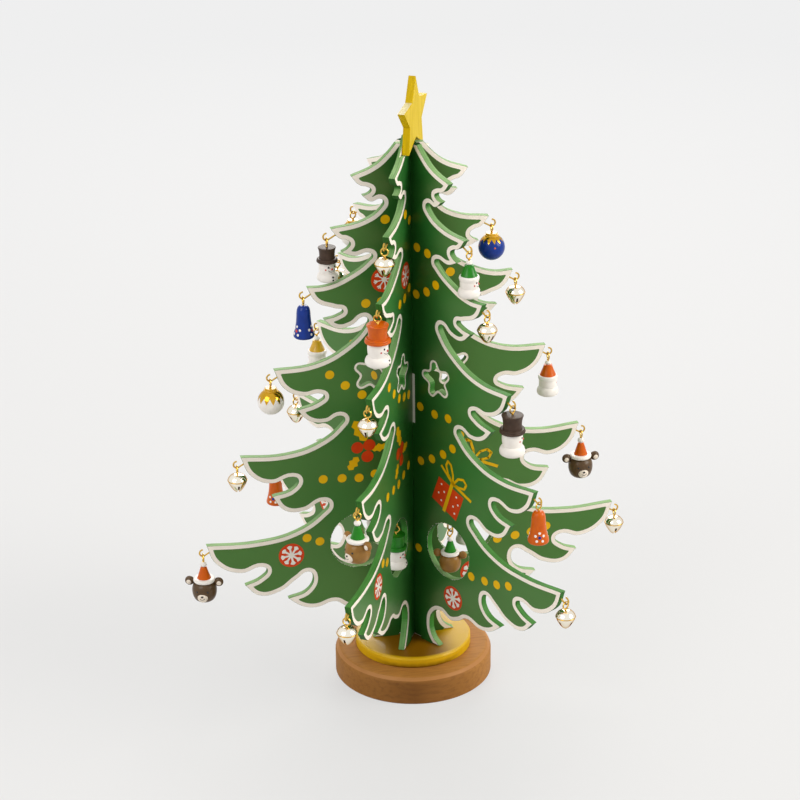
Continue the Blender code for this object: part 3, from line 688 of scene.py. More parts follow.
def leaf(u, z, length, width, turn):
    """A leaf with spines, drawn about its middle: out along one side and back along the other."""
    edge = [Vector((-length / 2, 0))]
    for side, steps in ((1, range(1, 6)), (-1, range(5, 0, -1))):
        for step in steps:
            reach = math.sin(math.pi * (0.12 + 0.76 * step / 6)) * (1.0 if step % 2 else 0.58)
            edge.append(Vector(((step / 6 - 0.5) * length, side * reach * width / 2)))
        if side == 1:
            edge.append(Vector((length / 2, 0)))
    spin = Matrix.Rotation(turn, 2)
    return [Vector((u, z)) + spin @ corner for corner in edge]


print("A leaf has", len(leaf(0, 0, 10, 5, 0)), "corners")

# %% [markdown]
# The gift box is a tilted red square with small white dots and a yellow bow. Its dots are counted in steps
# across and down the square, and the bow is strokes: a ribbon, its two ends and two loops.

# %% Gift box
BOX_CORNERS = [(20.4, 110.2), (15.5, 97.8), (31.8, 90.7), (36.9, 104.2)]
BOX_DOTS = ((1, 1), (1, 3), (2, 2), (2, 4), (4.6, 1), (5.4, 2.2), (4.6, 3.2), (5.3, 4.3))
BOW = (
    (((29.6, 109.6), (23.7, 93.4)), 2.0),
    (((29.8, 109.3), (22.3, 116.4)), 1.3),
    (((30.0, 109.3), (41.8, 104.2)), 1.5),
    (((30, 109.3), (26.6, 113.5), (25.4, 117.5), (26.6, 120), (28.6, 118.6), (29.9, 114), (30, 109.3)), 1.2),
    (((30, 109.3), (33.4, 112.9), (36.8, 113.6), (38.8, 111.6), (37.4, 109), (33.6, 108.6), (30, 109.3)),
     1.2),
)


def gift_box():
    corner, low, _, far = [Vector(place) for place in BOX_CORNERS]
    rows = [(BOX_CORNERS, "red", 1)]
    for i, j in BOX_DOTS:
        place = corner + (far - corner) * i / 6 + (low - corner) * j / 5
        rows.append((disc_shape(*place, 0.55, 10), "snow", 2))
    return rows + [(shape, "yellow", 3) for points, width in BOW for shape in stroke_shapes(points, width)]


print("The gift box has", len(gift_box()), "shapes")

# %% [markdown]
# Strings of dots stand for fairy lights. Places below are (distance from the axis, height) in millimetres.

# %% Motifs of the two halves
DOT_RADIUS = 2.2
BERRY_RADIUS = 2.95
LEFT_DOTS = (
    (11.8, 233.7), (5.6, 229.0), (6.8, 196.6), (14.0, 194.0), (21.4, 193.7), (39.1, 159.9), (31.8, 153.8),
    (23.9, 148.3), (16.3, 146.0), (9.0, 144.2), (43.3, 106.9), (34.2, 106.4), (26.0, 105.7), (18.2, 107.0),
    (10.4, 108.6), (51.8, 77.0), (45.6, 74.5),
)
RIGHT_DOTS = (
    (6.4, 220.6), (13.3, 219.4), (18.7, 205.5), (12.6, 200.6), (5.7, 197.6), (7.9, 142.0), (17.6, 141.0),
    (26.6, 141.6), (29.5, 127.2), (23.2, 122.3), (15.7, 117.6), (8.1, 114.2), (6.1, 67.6), (42.1, 65.3),
    (51.0, 66.2), (59.0, 67.2), (66.6, 69.3),
)
HOLLY_LEAVES = ((25.1, 129.8, 12.5, 7.0, 118), (28.6, 113.4, 8.0, 5.2, 55), (16.0, 120.4, 8.0, 4.6, 8))
HOLLY_BERRIES = ((26.6, 121.4), (20.8, 122.2), (21.8, 116.4))


def left_half():
    rows = [(disc_shape(-r, z, DOT_RADIUS), "yellow", 1) for r, z in LEFT_DOTS]
    rows += flake(-12.6, 204.6, 6.2, 0.55) + flake(-59.6, 68.8, 6.2, 0.95)
    for r, z, length, width, turn in HOLLY_LEAVES:
        rows.append((leaf(-r, z, length, width, math.radians(turn)), "yellow", 1))
    return rows + [(disc_shape(-r, z, BERRY_RADIUS), "red", 2) for r, z in HOLLY_BERRIES]


def right_half():
    rows = [(disc_shape(r, z, DOT_RADIUS), "yellow", 1) for r, z in RIGHT_DOTS]
    return rows + flake(29.7, 49.1, 6.2, 0.95) + gift_box()


print("Shapes on a face:", len(left_half()) + len(right_half()))

# %% [markdown]
# A star stands beside the raised board's middle plane, let halfway into one face. The board is cut away
# round it, and the green field must stop there as well, so the star's size comes before the boards.

# %% Sizes of the star
STAR_RADIUS = 18.7 * MM
STAR_INNER = 9.5 * MM
STAR_THICKNESS = 3.4 * MM
STAR_MIDDLE = APEX_HEIGHT + 1.3 * MM + STAR_INNER
STAR_SHIFT = Matrix.Translation((0, 1.7 * MM, 0))
SEAT_GAP = 0.3 * MM
LAP_SIDE = 14.5 * MM
LAP_BOTTOM = STAR_MIDDLE - STAR_RADIUS * math.cos(math.radians(36)) - 0.2 * MM
LAP_TOP = LAP_BOTTOM + 40 * MM
LAP_LINE = [(-LAP_SIDE, LAP_BOTTOM), (LAP_SIDE, LAP_BOTTOM), (LAP_SIDE, LAP_TOP), (-LAP_SIDE, LAP_TOP)]


def star_line(grow):
    """The star's outline, larger all round by grow."""
    outer = STAR_RADIUS + grow / math.sin(math.pi / 5)
    return [(x, z) for x, z, _ in star_knots((0, STAR_MIDDLE), outer, STAR_INNER + grow, 0, True)]


print("The star's middle is", round(STAR_MIDDLE / MM, 1), "mm up and its radius", STAR_RADIUS / MM, "mm")

# %% [markdown]
# Now the boards. The plate is the wood with its white ink. The green field and the motifs are thin films
# of ink over each face, a few hundredths of a millimetre apart so that none of them flickers through
# another. The raised board is cut round the star on one face, and straight across on the other, where the
# star lies in its half-lap. Beside the front right board's slot the photograph shows a short pale strip,
# which is one more film.

# %% Boards
FILM = 0.04 * MM
ROUNDING = 0.12 * MM
INKS = {"green": 0, "yellow": 1, "red": 2, "snow": 3}
SLOT_STRIP = [(2.6, 132.4), (4.3, 132.4), (4.3, 157.4), (2.6, 157.4)]


def wing_turn(wing):
    return Matrix.Rotation(WINGS.index(wing) * WING_ANGLE, 4, "Z")


def place_piece(name, mesh, materials, matrix, body, node=None):
    """Put a finished mesh in the scene, at this place, on this body. It may stand for a CAD node."""
    for material in materials:
        mesh.materials.append(material)
    piece = bpy.data.objects.new(name, mesh)
    scene.collection.objects.link(piece)
    piece.matrix_world = matrix
    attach(piece, body)
    if node:
        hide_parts(node)
    return piece


def cut_with(mesh, cutters, name):
    """The mesh with the cutters' shapes taken away."""
    things = [bpy.data.objects.new("cut", part) for part in (mesh, *cutters)]
    for thing in things:
        scene.collection.objects.link(thing)
    for cutter in things[1:]:
        cut = things[0].modifiers.new("cut", "BOOLEAN")
        cut.object = cutter
        cut.solver = "EXACT"
    made = evaluated_mesh(things[0], name)
    for thing in things:
        bpy.data.objects.remove(thing)
    return made


def add_film(shape, film, ink, layer, side, lift=0.0):
    """Add a film of ink, a mesh or a row of corners, over a board's front, side -1, or its back, side 1."""
    y = side * (BOARD_THICKNESS / 2 + FILM * (layer + 1))
    if isinstance(film, list):
        faces = [shape.faces.new([shape.verts.new((-side * u * MM, y, z * MM + lift)) for u, z in film])]
    else:
        known = [shape.verts.new((v.co.x, y, v.co.z)) for v in film.vertices]
        faces = [shape.faces.new([known[i] for i in p.vertices]) for p in film.polygons]
    for face in faces:
        face.material_index = INKS[ink]
        face.normal_update()
        if face.normal.y * side < 0:
            face.normal_flip()


def make_board(name):
    wing, lift = BOARDS[name][:2]
    knots, edge_kinds = closed_outline(board_side(*BOARDS[name]))
    line, numbers = fine_line(knots)
    holes = cut_outs(lift)
    star_cuts = (star_line(SEAT_GAP), LAP_LINE) if lift else (None, None)
    plate = flat_mesh(name + "_plate", [line] + holes, BOARD_THICKNESS, ROUNDING)
    if lift:
        seats = [flat_mesh("seat", [cut], STAR_THICKNESS + 2 * SEAT_GAP) for cut in star_cuts]
        for seat in seats:
            seat.transform(STAR_SHIFT)
        plate = cut_with(plate, seats, name + "_plate")
    for face in plate.polygons:
        is_slot_wall = abs(face.center.x) < 1.05 * SLOT_HALF_WIDTH
        face.material_index = 0 if abs(face.normal.y) > 0.9 else 2 if is_slot_wall else 1
        face.use_smooth = False
    shape = bmesh.new()
    for side, star_cut in zip((-1, 1), star_cuts):
        field = field_of(line, numbers, edge_kinds, holes, star_cut)
        add_film(shape, flat_mesh(name + "_green", contour(*field)), "green", 0, side)
        for corners, ink, layer in left_half() + right_half():
            add_film(shape, corners, ink, layer, side, lift)
    if name == "board_front_right":
        add_film(shape, SLOT_STRIP, "snow", 1, -1)
    films = bpy.data.meshes.new(name + "_print")
    shape.to_mesh(films)
    shape.free()
    finishes = [white_ink, dyed_edge_and_painted_light, slot_painted_shade]
    place_piece(name + "_wood", plate, finishes, wing_turn(wing), "tree", name)
    inks = [green_ink, yellow_ink, red_ink, snow_ink]
    place_piece(name + "_print", films, inks, wing_turn(wing), "tree")
    print(name, "wood", len(plate.polygons), "print", len(films.polygons), "faces")


for board_name in BOARDS:
    make_board(board_name)

# %% [markdown]
# The star is sawn from wood and washed with thin yellow paint that lets the grain show as upright streaks.
# The paint is thicker on the sawn edges. The edges that face up on one side get a pale painted highlight
# instead.

# %% Star


def grained_paint(name, dark, light, across_mm, along_mm):
    """Thin paint over wood whose grain runs along the piece's own Z."""
    material = painted(name, dark, light, across_mm, 0.5, 0.3, 0.03, shine=0.1)
    streaks = grain(material, (per_metre(across_mm), per_metre(across_mm), per_metre(along_mm)), 3.0)
    join(material, ramp(material, streaks, 0.3, 0.7), "Mix", "Factor")
    return material


star_face = grained_paint("yellow_washed_beech_face", "#C8AA06", "#DCC038", 0.9, 14)
star_edge = grained_paint("yellow_washed_beech_edge", "#C8A600", "#DAB600", 1.2, 10)
star_top_edge_highlight = grained_paint("washed_beech_edge_painted_highlight", "#CCBE7C", "#DED4AC", 1.2, 10)
star_mesh = flat_mesh("star_topper", [star_line(0)], STAR_THICKNESS, 0.15 * MM)
star_mesh.transform(STAR_SHIFT)
# Painted highlight: the up-facing edges on one side are pale.
for face in star_mesh.polygons:
    is_lit_top_edge = face.normal.z > 0.9 and face.center.x > 0
    face.material_index = 0 if abs(face.normal.y) > 0.9 else 2 if is_lit_top_edge else 1
    face.use_smooth = False
star_finishes = [star_face, star_edge, star_top_edge_highlight]
place_piece("star", star_mesh, star_finishes, wing_turn("front_left"), "tree", "star_topper")
print("Star faces:", len(star_mesh.polygons))

# %% [markdown]
# Turned parts, from the base to the bells, are profiles spun about an axis. A smooth line through a few
# points gives the profile, and a point given twice is a corner. The skin is then built ring by ring.

# %% Turning


def smooth_line(knots, steps=4):
    """Points on a smooth line through these knots. A knot given twice is a corner."""
    knots = [Vector(knot) for knot in knots]
    line = [knots[0]]
    for i in range(len(knots) - 1):
        start, end = knots[i], knots[i + 1]
        if (end - start).length < 1e-9:
            continue
        before = knots[i - 1] if i else start
        after = knots[i + 2] if i + 2 < len(knots) else end
        leave, arrive = (end - before) / 2, (after - start) / 2
        for step in range(1, steps + 1):
            t = step / steps
            line.append(
                start * (2 * t**3 - 3 * t**2 + 1) + leave * (t**3 - 2 * t**2 + t)
                + end * (3 * t**2 - 2 * t**3) + arrive * (t**3 - t**2)
            )
    return [tuple(point) for point in line]


def add_skin(shape, rings, paint, is_loop=False):
    """Cover rings of points with faces. A ring of one point is a pole. A loop joins last to first."""
    made = [[shape.verts.new(point) for point in ring] for ring in rings]
    pairs = list(zip(made, made[1:])) + ([(made[-1], made[0])] if is_loop else [])
    for low, high in pairs:
        for i in range(max(len(low), len(high))):
            corners = [low[i % len(low)], low[(i + 1) % len(low)]]
            corners += [high[(i + 1) % len(high)], high[i % len(high)]]
            corners = list(dict.fromkeys(corners))
            if len(corners) > 2:
                face = shape.faces.new(corners)
                face.material_index = paint
                face.smooth = True


def add_turned(shape, profile, steps, paint):
    """Spin a profile of (radius, height) about the Z axis."""
    rings = []
    for radius, z in profile:
        if radius < 1e-6:
            rings.append([(0, 0, z)])
            continue
        angles = [2 * math.pi * i / steps for i in range(steps)]
        rings.append([(radius * math.cos(a), radius * math.sin(a), z) for a in angles])
    add_skin(shape, rings, paint)


def mesh_of(shape, name, crease=math.radians(40)):
    """Finish a shape as a mesh with outward faces and crisp corners."""
    bmesh.ops.recalc_face_normals(shape, faces=shape.faces)
    mesh = bpy.data.meshes.new(name)
    shape.to_mesh(mesh)
    shape.free()
    mesh.set_sharp_from_angle(angle=crease)
    return mesh


print("A smooth line of three knots has", len(smooth_line([(0, 0), (1, 1), (2, 0)])), "points")

# %% [markdown]
# The base is a turned block, stained brown and left matt. The stain is deeper in the grain, which runs along
# X. Its shoulder is eased, and a pale line round the top is a painted highlight there. The side that faces
# the camera is in the tree's shade, which is painted on as a deeper tone below the top.

# %% Base block
BASE_PROFILE = (
    (0, 14.2), (34.6, 14.2), (34.6, 14.2), (36.0, 13.9), (37.4, 12.7), (38.1, 11.2), (38.1, 11.2),
    (38.1, 0.5), (38.1, 0.5), (37.6, 0), (37.6, 0), (0, 0),
)
base_wood = painted("brown_stained_turned_wood", "#9E6827", "#BC8340", 22, 0.66, 0.35, 0.03, shine=0.25)
deep_share = ramp(base_wood, grain(base_wood, (90, 700, 700), 4.0), 0.45, 0.75, 0.0, 0.5)
stain = base_wood.node_tree.nodes["Mix"].outputs["Result"]
join(base_wood, mixed(base_wood, deep_share, stain, srgb("#7C4F24")), "Principled BSDF", "Base Color")
# Painted shade on the side that faces the camera; the top is kept out of it.
base_unshaded_share = ramp(base_wood, side_distance(base_wood, 8 * MM), 0, 36 * MM, 0.0, 0.8)
base_height = add_node(base_wood, "SeparateXYZ", {0: own_place(base_wood)})["Z"]
shaded(base_wood, largest(base_wood, base_unshaded_share, ramp(base_wood, base_height, 11 * MM, 14 * MM)), "#BDB3A6")
# Painted highlight: a paler stain on the eased shoulder stands for the line of light there.
shoulder_highlight_wood = painted("stained_shoulder_painted_highlight", "#A8713A", "#BA824A", 6, 0.5, 0.35, 0.03)
base_shape = bmesh.new()
add_turned(base_shape, [(r * MM, z * MM) for r, z in smooth_line(BASE_PROFILE)], 96, 0)
base_mesh = mesh_of(base_shape, "base_block", math.radians(25))
for face in base_mesh.polygons:
    face.material_index = 1 if 0.45 < face.normal.z < 0.8 else 0
upright = Matrix.Identity(4)
place_piece("base_block", base_mesh, [base_wood, shoulder_highlight_wood], upright, "tree", "base_plinth")
print("Base block:", len(base_mesh.polygons), "faces")

# %% [markdown]
# The disc is thickly painted yellow, with soft edges and a soft shine. It has a slot for each wing's tab,
# which the CAD node has already, so the node stays and only takes the finish. Under the boughs a painted
# shade darkens it, in a band from front to back. Its rim, which catches the light all round, is left out of
# the painted shade.

# %% Disc
disc_paint = painted("yellow_gloss_enamel", "#CFA000", "#DCB008", 16, 0.42, 0.9, 0.03, coat=0.12)
# Painted shade: a band under the boughs, front to back, is darkened, and the rim is kept out of it.
disc_open = ramp(disc_paint, side_distance(disc_paint, 3 * MM), 9 * MM, 24 * MM, way="SMOOTHSTEP")
disc_far = add_node(disc_paint, "VectorMath", {0: own_place(disc_paint)}, operation="LENGTH")["Value"]
disc_rim = ramp(disc_paint, disc_far, 31.6 * MM, 32.8 * MM)
shaded(disc_paint, largest(disc_paint, disc_open, disc_rim), "#94804E")
disc_node = frame["nodes"]["base_disc"]
disc_node.data.materials.clear()
disc_node.data.materials.append(disc_paint)
print("Disc finish:", disc_paint.name)

# %% [markdown]
# Hooks and eyes are brass wire of 0.8 mm. Brass is a metal: its colour is the colour of its reflection. A
# fine noise stands for the drawn surface.

# %% Brass wire
brass = painted("drawn_brass_wire", "#C99A3A", "#E8C465", 1.5, 0.24, 0.3, 0.01, metallic=1.0)
WIRE_RADIUS = 0.4 * MM


def add_wire(shape, points, radius, paint=0, sides=8):
    """A round wire along points, with closed ends."""
    points = [Vector(point) for point in points]
    rings = [[points[0]]]
    side = None
    for i, point in enumerate(points):
        along = (points[min(i + 1, len(points) - 1)] - points[max(i - 1, 0)]).normalized()
        if side is None:
            side = along.orthogonal()
        side = (side - along * side.dot(along)).normalized()
        across = along.cross(side)
        angles = [2 * math.pi * k / sides for k in range(sides)]
        rings.append([point + (side * math.cos(a) + across * math.sin(a)) * radius for a in angles])
    rings.append([points[-1]])
    add_skin(shape, rings, paint)


print("Wire finish:", brass.name)

# %% [markdown]
# Each hook is a wire screwed into the bough's underside and bent into an open loop. In the window the wire
# comes from the top of the hole. The loop's bottom is where the ornament's eye rests.

# %% Hooks
PLACES = ("level_2", "level_3", "level_4", "level_5", "level_6", "window")
LOOP_RADIUS = 1.65 * MM


def hook_line(place, lift):
    """Points of a hook's wire as (distance from the axis, height)."""
    if place == "window":
        radius, z = wing_point(WINDOW_PLACE, lift)
        x, y = radius, z + WINDOW_RADIUS - 2.2 * MM
        root = (radius - LOOP_RADIUS, z + WINDOW_RADIUS + 3.0 * MM)
        first = math.radians(180)
    else:
        radius, z = wing_point(TIPS[PLACES.index(place)], lift)
        x, y = radius + 1.7 * MM, z - 4.0 * MM
        root = (radius - 3.2 * MM, z - 3.0 * MM)
        first = math.radians(225)
    angles = [first + math.radians(12.5 * i) for i in range(19)]
    return [root] + [(x + LOOP_RADIUS * math.cos(a), y + LOOP_RADIUS * math.sin(a)) for a in angles]


for wing in WINGS:
    opposite = WINGS[WINGS.index(wing) - 3]
    lift = next(board[1] for board in BOARDS.values() if board[0] in (wing, opposite))
    hook_shape = bmesh.new()
    for place in PLACES:
        add_wire(hook_shape, [(r, 0, z) for r, z in hook_line(place, lift)], WIRE_RADIUS)
    hook_mesh = mesh_of(hook_shape, "hooks_" + wing)
    place_piece("hooks_" + wing, hook_mesh, [brass], wing_turn(wing), "tree")
print("Hooks on", len(WINGS), "wings")

# %% [markdown]
# The ornaments are turned from wood and dipped in glossy enamel, then dotted with a fine brush. Enamel is
# a hard, clear-topped paint, so most colours get a coat. The colours are kept in one table. Jingle bells
# are so thinly gilt that they look nearly white, and only their rims are yellow.

# %% Enamels
gilt = painted("gilt_stamped_brass", "#FFF5DE", "#FFFCF2", 3, 0.10, 0.8, 0.02, metallic=1.0)
gilt.node_tree.nodes["Principled BSDF"].inputs["Specular Tint"].default_value = srgb("#C08A14")
rim_gilt = painted("worn_gilt_rim", "#C9921A", "#E3B53C", 2, 0.16, 0.8, 0.02, metallic=1.0)
slot_dark = painted("dark_bell_inside", "#4A3312", "#5F431A", 2, 0.6, 0.5, 0.01)
ENAMELS = {
    "black": painted("black_enamel", "#31241C", "#574438", 2.5, 0.45, 0.5, 0.04),
    "orange": painted("orange_enamel", "#C04A00", "#DA6A02", 2.5, 0.30, 0.5, 0.04, coat=0.15),
    "green": painted("green_enamel", "#126A10", "#2A8C1C", 2.5, 0.28, 0.5, 0.04, coat=0.15),
    "gold": painted("gold_enamel", "#C48E06", "#E6B92E", 2.5, 0.28, 0.5, 0.03, coat=0.6),
    "blue": painted("blue_enamel", "#072A78", "#103A9C", 2.5, 0.28, 0.5, 0.03, coat=0.15),
    "white": painted("white_enamel", "#EEE7E0", "#F9F5F0", 3, 0.40, 0.6, 0.03, coat=0.2),
    "cream": painted("cream_enamel", "#EADCCB", "#F6EADB", 2, 0.40, 0.6, 0.03, coat=0.2),
    "dark": painted("dark_brown_enamel", "#44321F", "#6A5136", 3, 0.32, 0.6, 0.04, coat=0.15),
    "light": painted("chestnut_enamel", "#7E5420", "#A47A3A", 3, 0.30, 0.6, 0.04, coat=0.15),
    "ink": painted("black_brush_dot", "#0E0B0A", "#1C1614", 1, 0.25, 0.4, 0.01, coat=0.6),
    "red": painted("red_brush_dot", "#C02A12", "#D8442A", 1, 0.30, 0.4, 0.01, coat=0.5),
}
PAINTS = [brass, gilt, rim_gilt, slot_dark] + list(ENAMELS.values())
PAINT = {"brass": 0, "gilt": 1, "rim": 2, "inside": 3}
PAINT.update({name: i + 4 for i, name in enumerate(ENAMELS)})
print("Enamels:", sorted(ENAMELS))

# %% [markdown]
# Every ornament hangs from a wire eye on a short twisted shank. The eye stands across the hook's wire. All
# ornaments are drawn in millimetres below the point where they hang, and the body's top is 3.1 mm under
# it.

# %% Eye and shank
BODY_TOP = -3.1


def add_eye(shape):
    """The ring that hangs on the hook, its shank and the wire's end wound round it."""
    section = [(0.35 * math.sin(b), 1.7 + 0.35 * math.cos(b)) for b in [math.pi * k / 4 for k in range(8)]]
    rings = []
    for a in [2 * math.pi * step / 24 for step in range(24)]:
        rings.append([(x, far * math.cos(a), far * math.sin(a) - 0.65) for x, far in section])
    add_skin(shape, rings, PAINT["brass"], is_loop=True)
    add_wire(shape, [(0, 0, -2.3), (0, 0, -3.8)], 0.35, PAINT["brass"])
    turns = [2 * math.pi * i / 10 for i in range(26)]
    twist = [(0.38 * math.cos(a), 0.38 * math.sin(a), -2.25 - 1.2 * i / 25) for i, a in enumerate(turns)]
    add_wire(shape, twist, 0.22, PAINT["brass"], 6)


print("The eye hangs", -BODY_TOP, "mm over the body's top")

# %% [markdown]
# Faces and dots are small flat drops of paint. A helper finds the place and the outward direction on a
# turned profile at a given height and side, and another sets the drop there.

# %% Brush dots


def on_profile(profile, z, angle):
    """Place and outward direction on a turned profile at this height and angle."""
    for (r0, z0), (r1, z1) in zip(profile, profile[1:]):
        if min(z0, z1) <= z <= max(z0, z1) and abs(z1 - z0) > 1e-9:
            share = (z - z0) / (z1 - z0)
            radius = r0 + (r1 - r0) * share
            out = Vector((z0 - z1, 0, r1 - r0)).normalized()
            spin = Matrix.Rotation(angle, 3, "Z")
            return spin @ Vector((radius, 0, z)), spin @ out
    raise ValueError(f"the profile has no height {z}")


def add_oval(shape, place, radii, paint, turn=None, across=20, down=12):
    """A ball or oval with these radii, which a matrix may turn."""
    matrix = Matrix.Translation(place) @ (turn or Matrix.Identity(3)).to_4x4() @ Matrix.Diagonal((*radii, 1))
    made = bmesh.ops.create_uvsphere(shape, u_segments=across, v_segments=down, radius=1, matrix=matrix)
    for face in {face for vert in made["verts"] for face in vert.link_faces}:
        face.material_index = PAINT[paint]
        face.smooth = True


def add_dot(shape, profile, z, angle, radius, paint, proud=0.16):
    """A drop of paint on the turned surface."""
    place, out = on_profile(profile, z, math.radians(angle))
    add_oval(shape, place, (radius, radius, proud), paint, out.to_track_quat("Z", "Y").to_matrix(), 10, 6)


def add_smile(shape, profile, z):
    """A thin curved brush line, looking along +X."""
    points = []
    for share in [i / 4 for i in range(-4, 5)]:
        place, out = on_profile(profile, z - 0.9 * (1 - share * share), math.radians(share * 26))
        points.append(place + out * 0.02)
    add_wire(shape, points, 0.13, PAINT["ink"], 6)


print("Dots ready")

# %% [markdown]
# Snowmen come in two kinds, one under a top hat with a thick double brim, one under a cone hat with a
# white pompom. Shares are of the figure's radius and height, counted from its top, as in the CAD model.

# %% Snowmen


def turned_part(shape, shares, radius, height, paint, steps=32):
    """Turn one part of an ornament from its shares, and give its profile in millimetres."""
    profile = [(r * radius, BODY_TOP - z * height) for r, z in smooth_line(shares)]
    add_turned(shape, profile, steps, PAINT[paint])
    return profile


def add_snow_face(shape, head, body, height, eyes, nose, smile, buttons):
    """Eyes, nose, smile, cheeks and buttons, looking along +X. Their heights are shares of the figure's."""
    for side in (-1, 1):
        add_dot(shape, head, BODY_TOP - eyes * height, side * 24, 0.52, "ink")
        add_dot(shape, head, BODY_TOP - (nose + 0.01) * height, side * 44, 0.42, "red", 0.08)
    add_dot(shape, head, BODY_TOP - nose * height, 0, 0.55, "red", 0.5)
    add_smile(shape, head, BODY_TOP - smile * height)
    for share in buttons:
        add_dot(shape, body, BODY_TOP - share * height, 0, 0.5, "ink")


def add_top_hat(shape, hat, share):
    size = (5.95 * share, 19.8 * share)
    turned_part(shape, (
        (0, 0.004), (0.60, 0.002), (0.60, 0.002), (0.80, 0.006), (0.85, 0.022), (0.82, 0.05), (0.76, 0.12),
        (0.73, 0.21), (0.73, 0.30), (0.75, 0.335), (0.75, 0.335), (0.90, 0.335), (0.97, 0.355),
        (0.95, 0.375), (0.95, 0.375), (1.0, 0.392), (1.0, 0.425), (0.92, 0.443), (0.70, 0.447), (0, 0.447),
    ), *size, hat)
    head = turned_part(shape, (
        (0, 0.43), (0.70, 0.43), (0.77, 0.465), (0.80, 0.54), (0.80, 0.63), (0.76, 0.72), (0.68, 0.768),
        (0, 0.775),
    ), *size, "white")
    body = turned_part(shape, (
        (0, 0.755), (0.67, 0.758), (0.84, 0.78), (0.96, 0.835), (1.0, 0.90), (0.95, 0.96), (0.78, 0.998),
        (0.70, 1.0), (0, 1.0),
    ), *size, "white")
    add_snow_face(shape, head, body, size[1], 0.545, 0.605, 0.635, (0.835, 0.925))


def add_cone_hat(shape, hat, share):
    size = (5.2 * share, 17.5 * share)
    add_oval(shape, (0, 0, BODY_TOP - 0.066 * size[1]), (1.5 * share, 1.5 * share, 1.2 * share), "white")
    turned_part(shape, (
        (0, 0.115), (0.36, 0.125), (0.40, 0.15), (0.48, 0.22), (0.60, 0.31), (0.72, 0.39), (0.77, 0.43),
        (0.77, 0.43), (0, 0.43),
    ), *size, hat)
    turned_part(shape, (
        (0, 0.412), (0.72, 0.412), (0.84, 0.425), (0.90, 0.465), (0.87, 0.52), (0.76, 0.55), (0, 0.55),
    ), *size, "white")
    head = turned_part(shape, (
        (0, 0.50), (0.70, 0.505), (0.79, 0.56), (0.82, 0.63), (0.80, 0.70), (0.73, 0.745), (0, 0.75),
    ), *size, "white")
    body = turned_part(shape, (
        (0, 0.735), (0.73, 0.74), (0.88, 0.77), (0.97, 0.83), (1.0, 0.90), (0.93, 0.962), (0.72, 0.998),
        (0.62, 1.0), (0, 1.0),
    ), *size, "white")
    add_snow_face(shape, head, body, size[1], 0.57, 0.625, 0.65, (0.83, 0.92))


print("Snowmen ready")

# %% [markdown]
# Bells carry little flowers of dots. The painted balls have a gold cap on a short neck, and gold over
# their shoulders with a zigzag edge, which is a skin of thin film whose lower ring goes up and down.

# %% Painted bells and balls


def add_bell(shape, colour, share):
    height = 15.6 * share
    profile = turned_part(shape, (
        (0, 0.0), (0.28, 0.006), (0.46, 0.035), (0.60, 0.11), (0.66, 0.22), (0.69, 0.40), (0.74, 0.56),
        (0.82, 0.70), (0.94, 0.84), (1.0, 0.92), (0.98, 0.97), (0.90, 0.998), (0.84, 1.0), (0.84, 1.0),
        (0, 0.985),
    ), 4.9 * share, height, colour)
    z = BODY_TOP - height * 0.75
    for turn in (0, 120, 240):
        add_dot(shape, profile, z, turn, 0.75, "red" if colour == "blue" else "blue")
        for a in [math.radians(90 + 72 * petal) for petal in range(5)]:
            add_dot(shape, profile, z + 2.0 * math.sin(a), turn + 29 * math.cos(a), 0.64, "white")


def add_ball(shape, colour, share):
    radius, cap_radius, cap_height = 6.2 * share, 3.3 * share, 1.8 * share
    middle = BODY_TOP - cap_height - math.sqrt(radius**2 - cap_radius**2)
    angles = [math.pi * i / 20 for i in range(21)]
    ball = [(radius * math.sin(a), middle + radius * math.cos(a)) for a in angles]
    add_turned(shape, ball, 40, PAINT[colour])
    turned_part(shape, (
        (0, 0.0), (0.62, 0.01), (0.80, 0.06), (0.86, 0.25), (0.82, 0.45), (0.82, 0.45), (0.94, 0.5),
        (1.0, 0.66), (0.96, 0.9), (0.86, 1.05), (0, 1.1),
    ), cap_radius, cap_height, "gold")
    low, high = (86, 58) if colour == "white" else (62, 40)
    film = radius + 0.05
    rings = [[] for _ in range(9)]
    for i in range(96):
        turn = 2 * math.pi * i / 96
        edge = low - (low - high) * (1 - abs(1 - (i % 8) / 4))
        for row, ring in enumerate(rings):
            a = math.radians(20 + (edge - 20) * row / 8)
            far = film * math.sin(a)
            ring.append((far * math.cos(turn), far * math.sin(turn), middle + film * math.cos(a)))
    add_skin(shape, rings, PAINT["rim"])
    if colour == "blue":
        for turn in (0, 90, 180, 270):
            add_dot(shape, ball, middle + radius * math.cos(math.radians(78)), turn, 0.45, "orange", 0.1)


print("Bells and balls ready")

# %% [markdown]
# A jingle bell is stamped from thin gilt brass: a low dome, a rim where the halves meet, and a pointed
# lower half that two slots cut into four petals. The hollow is real. Two thin blocks cut the slots out of
# the shell, and a steel pellet lies inside. The shell is made once for each size and copied.

# %% Jingle bell shell
SLOT_LINE = ((-4.2, 5.4), (-4, 4.9), (-3.4, 4.6), (3.4, 4.6), (4, 4.9), (4.2, 5.4), (4.2, 12), (-4.2, 12))


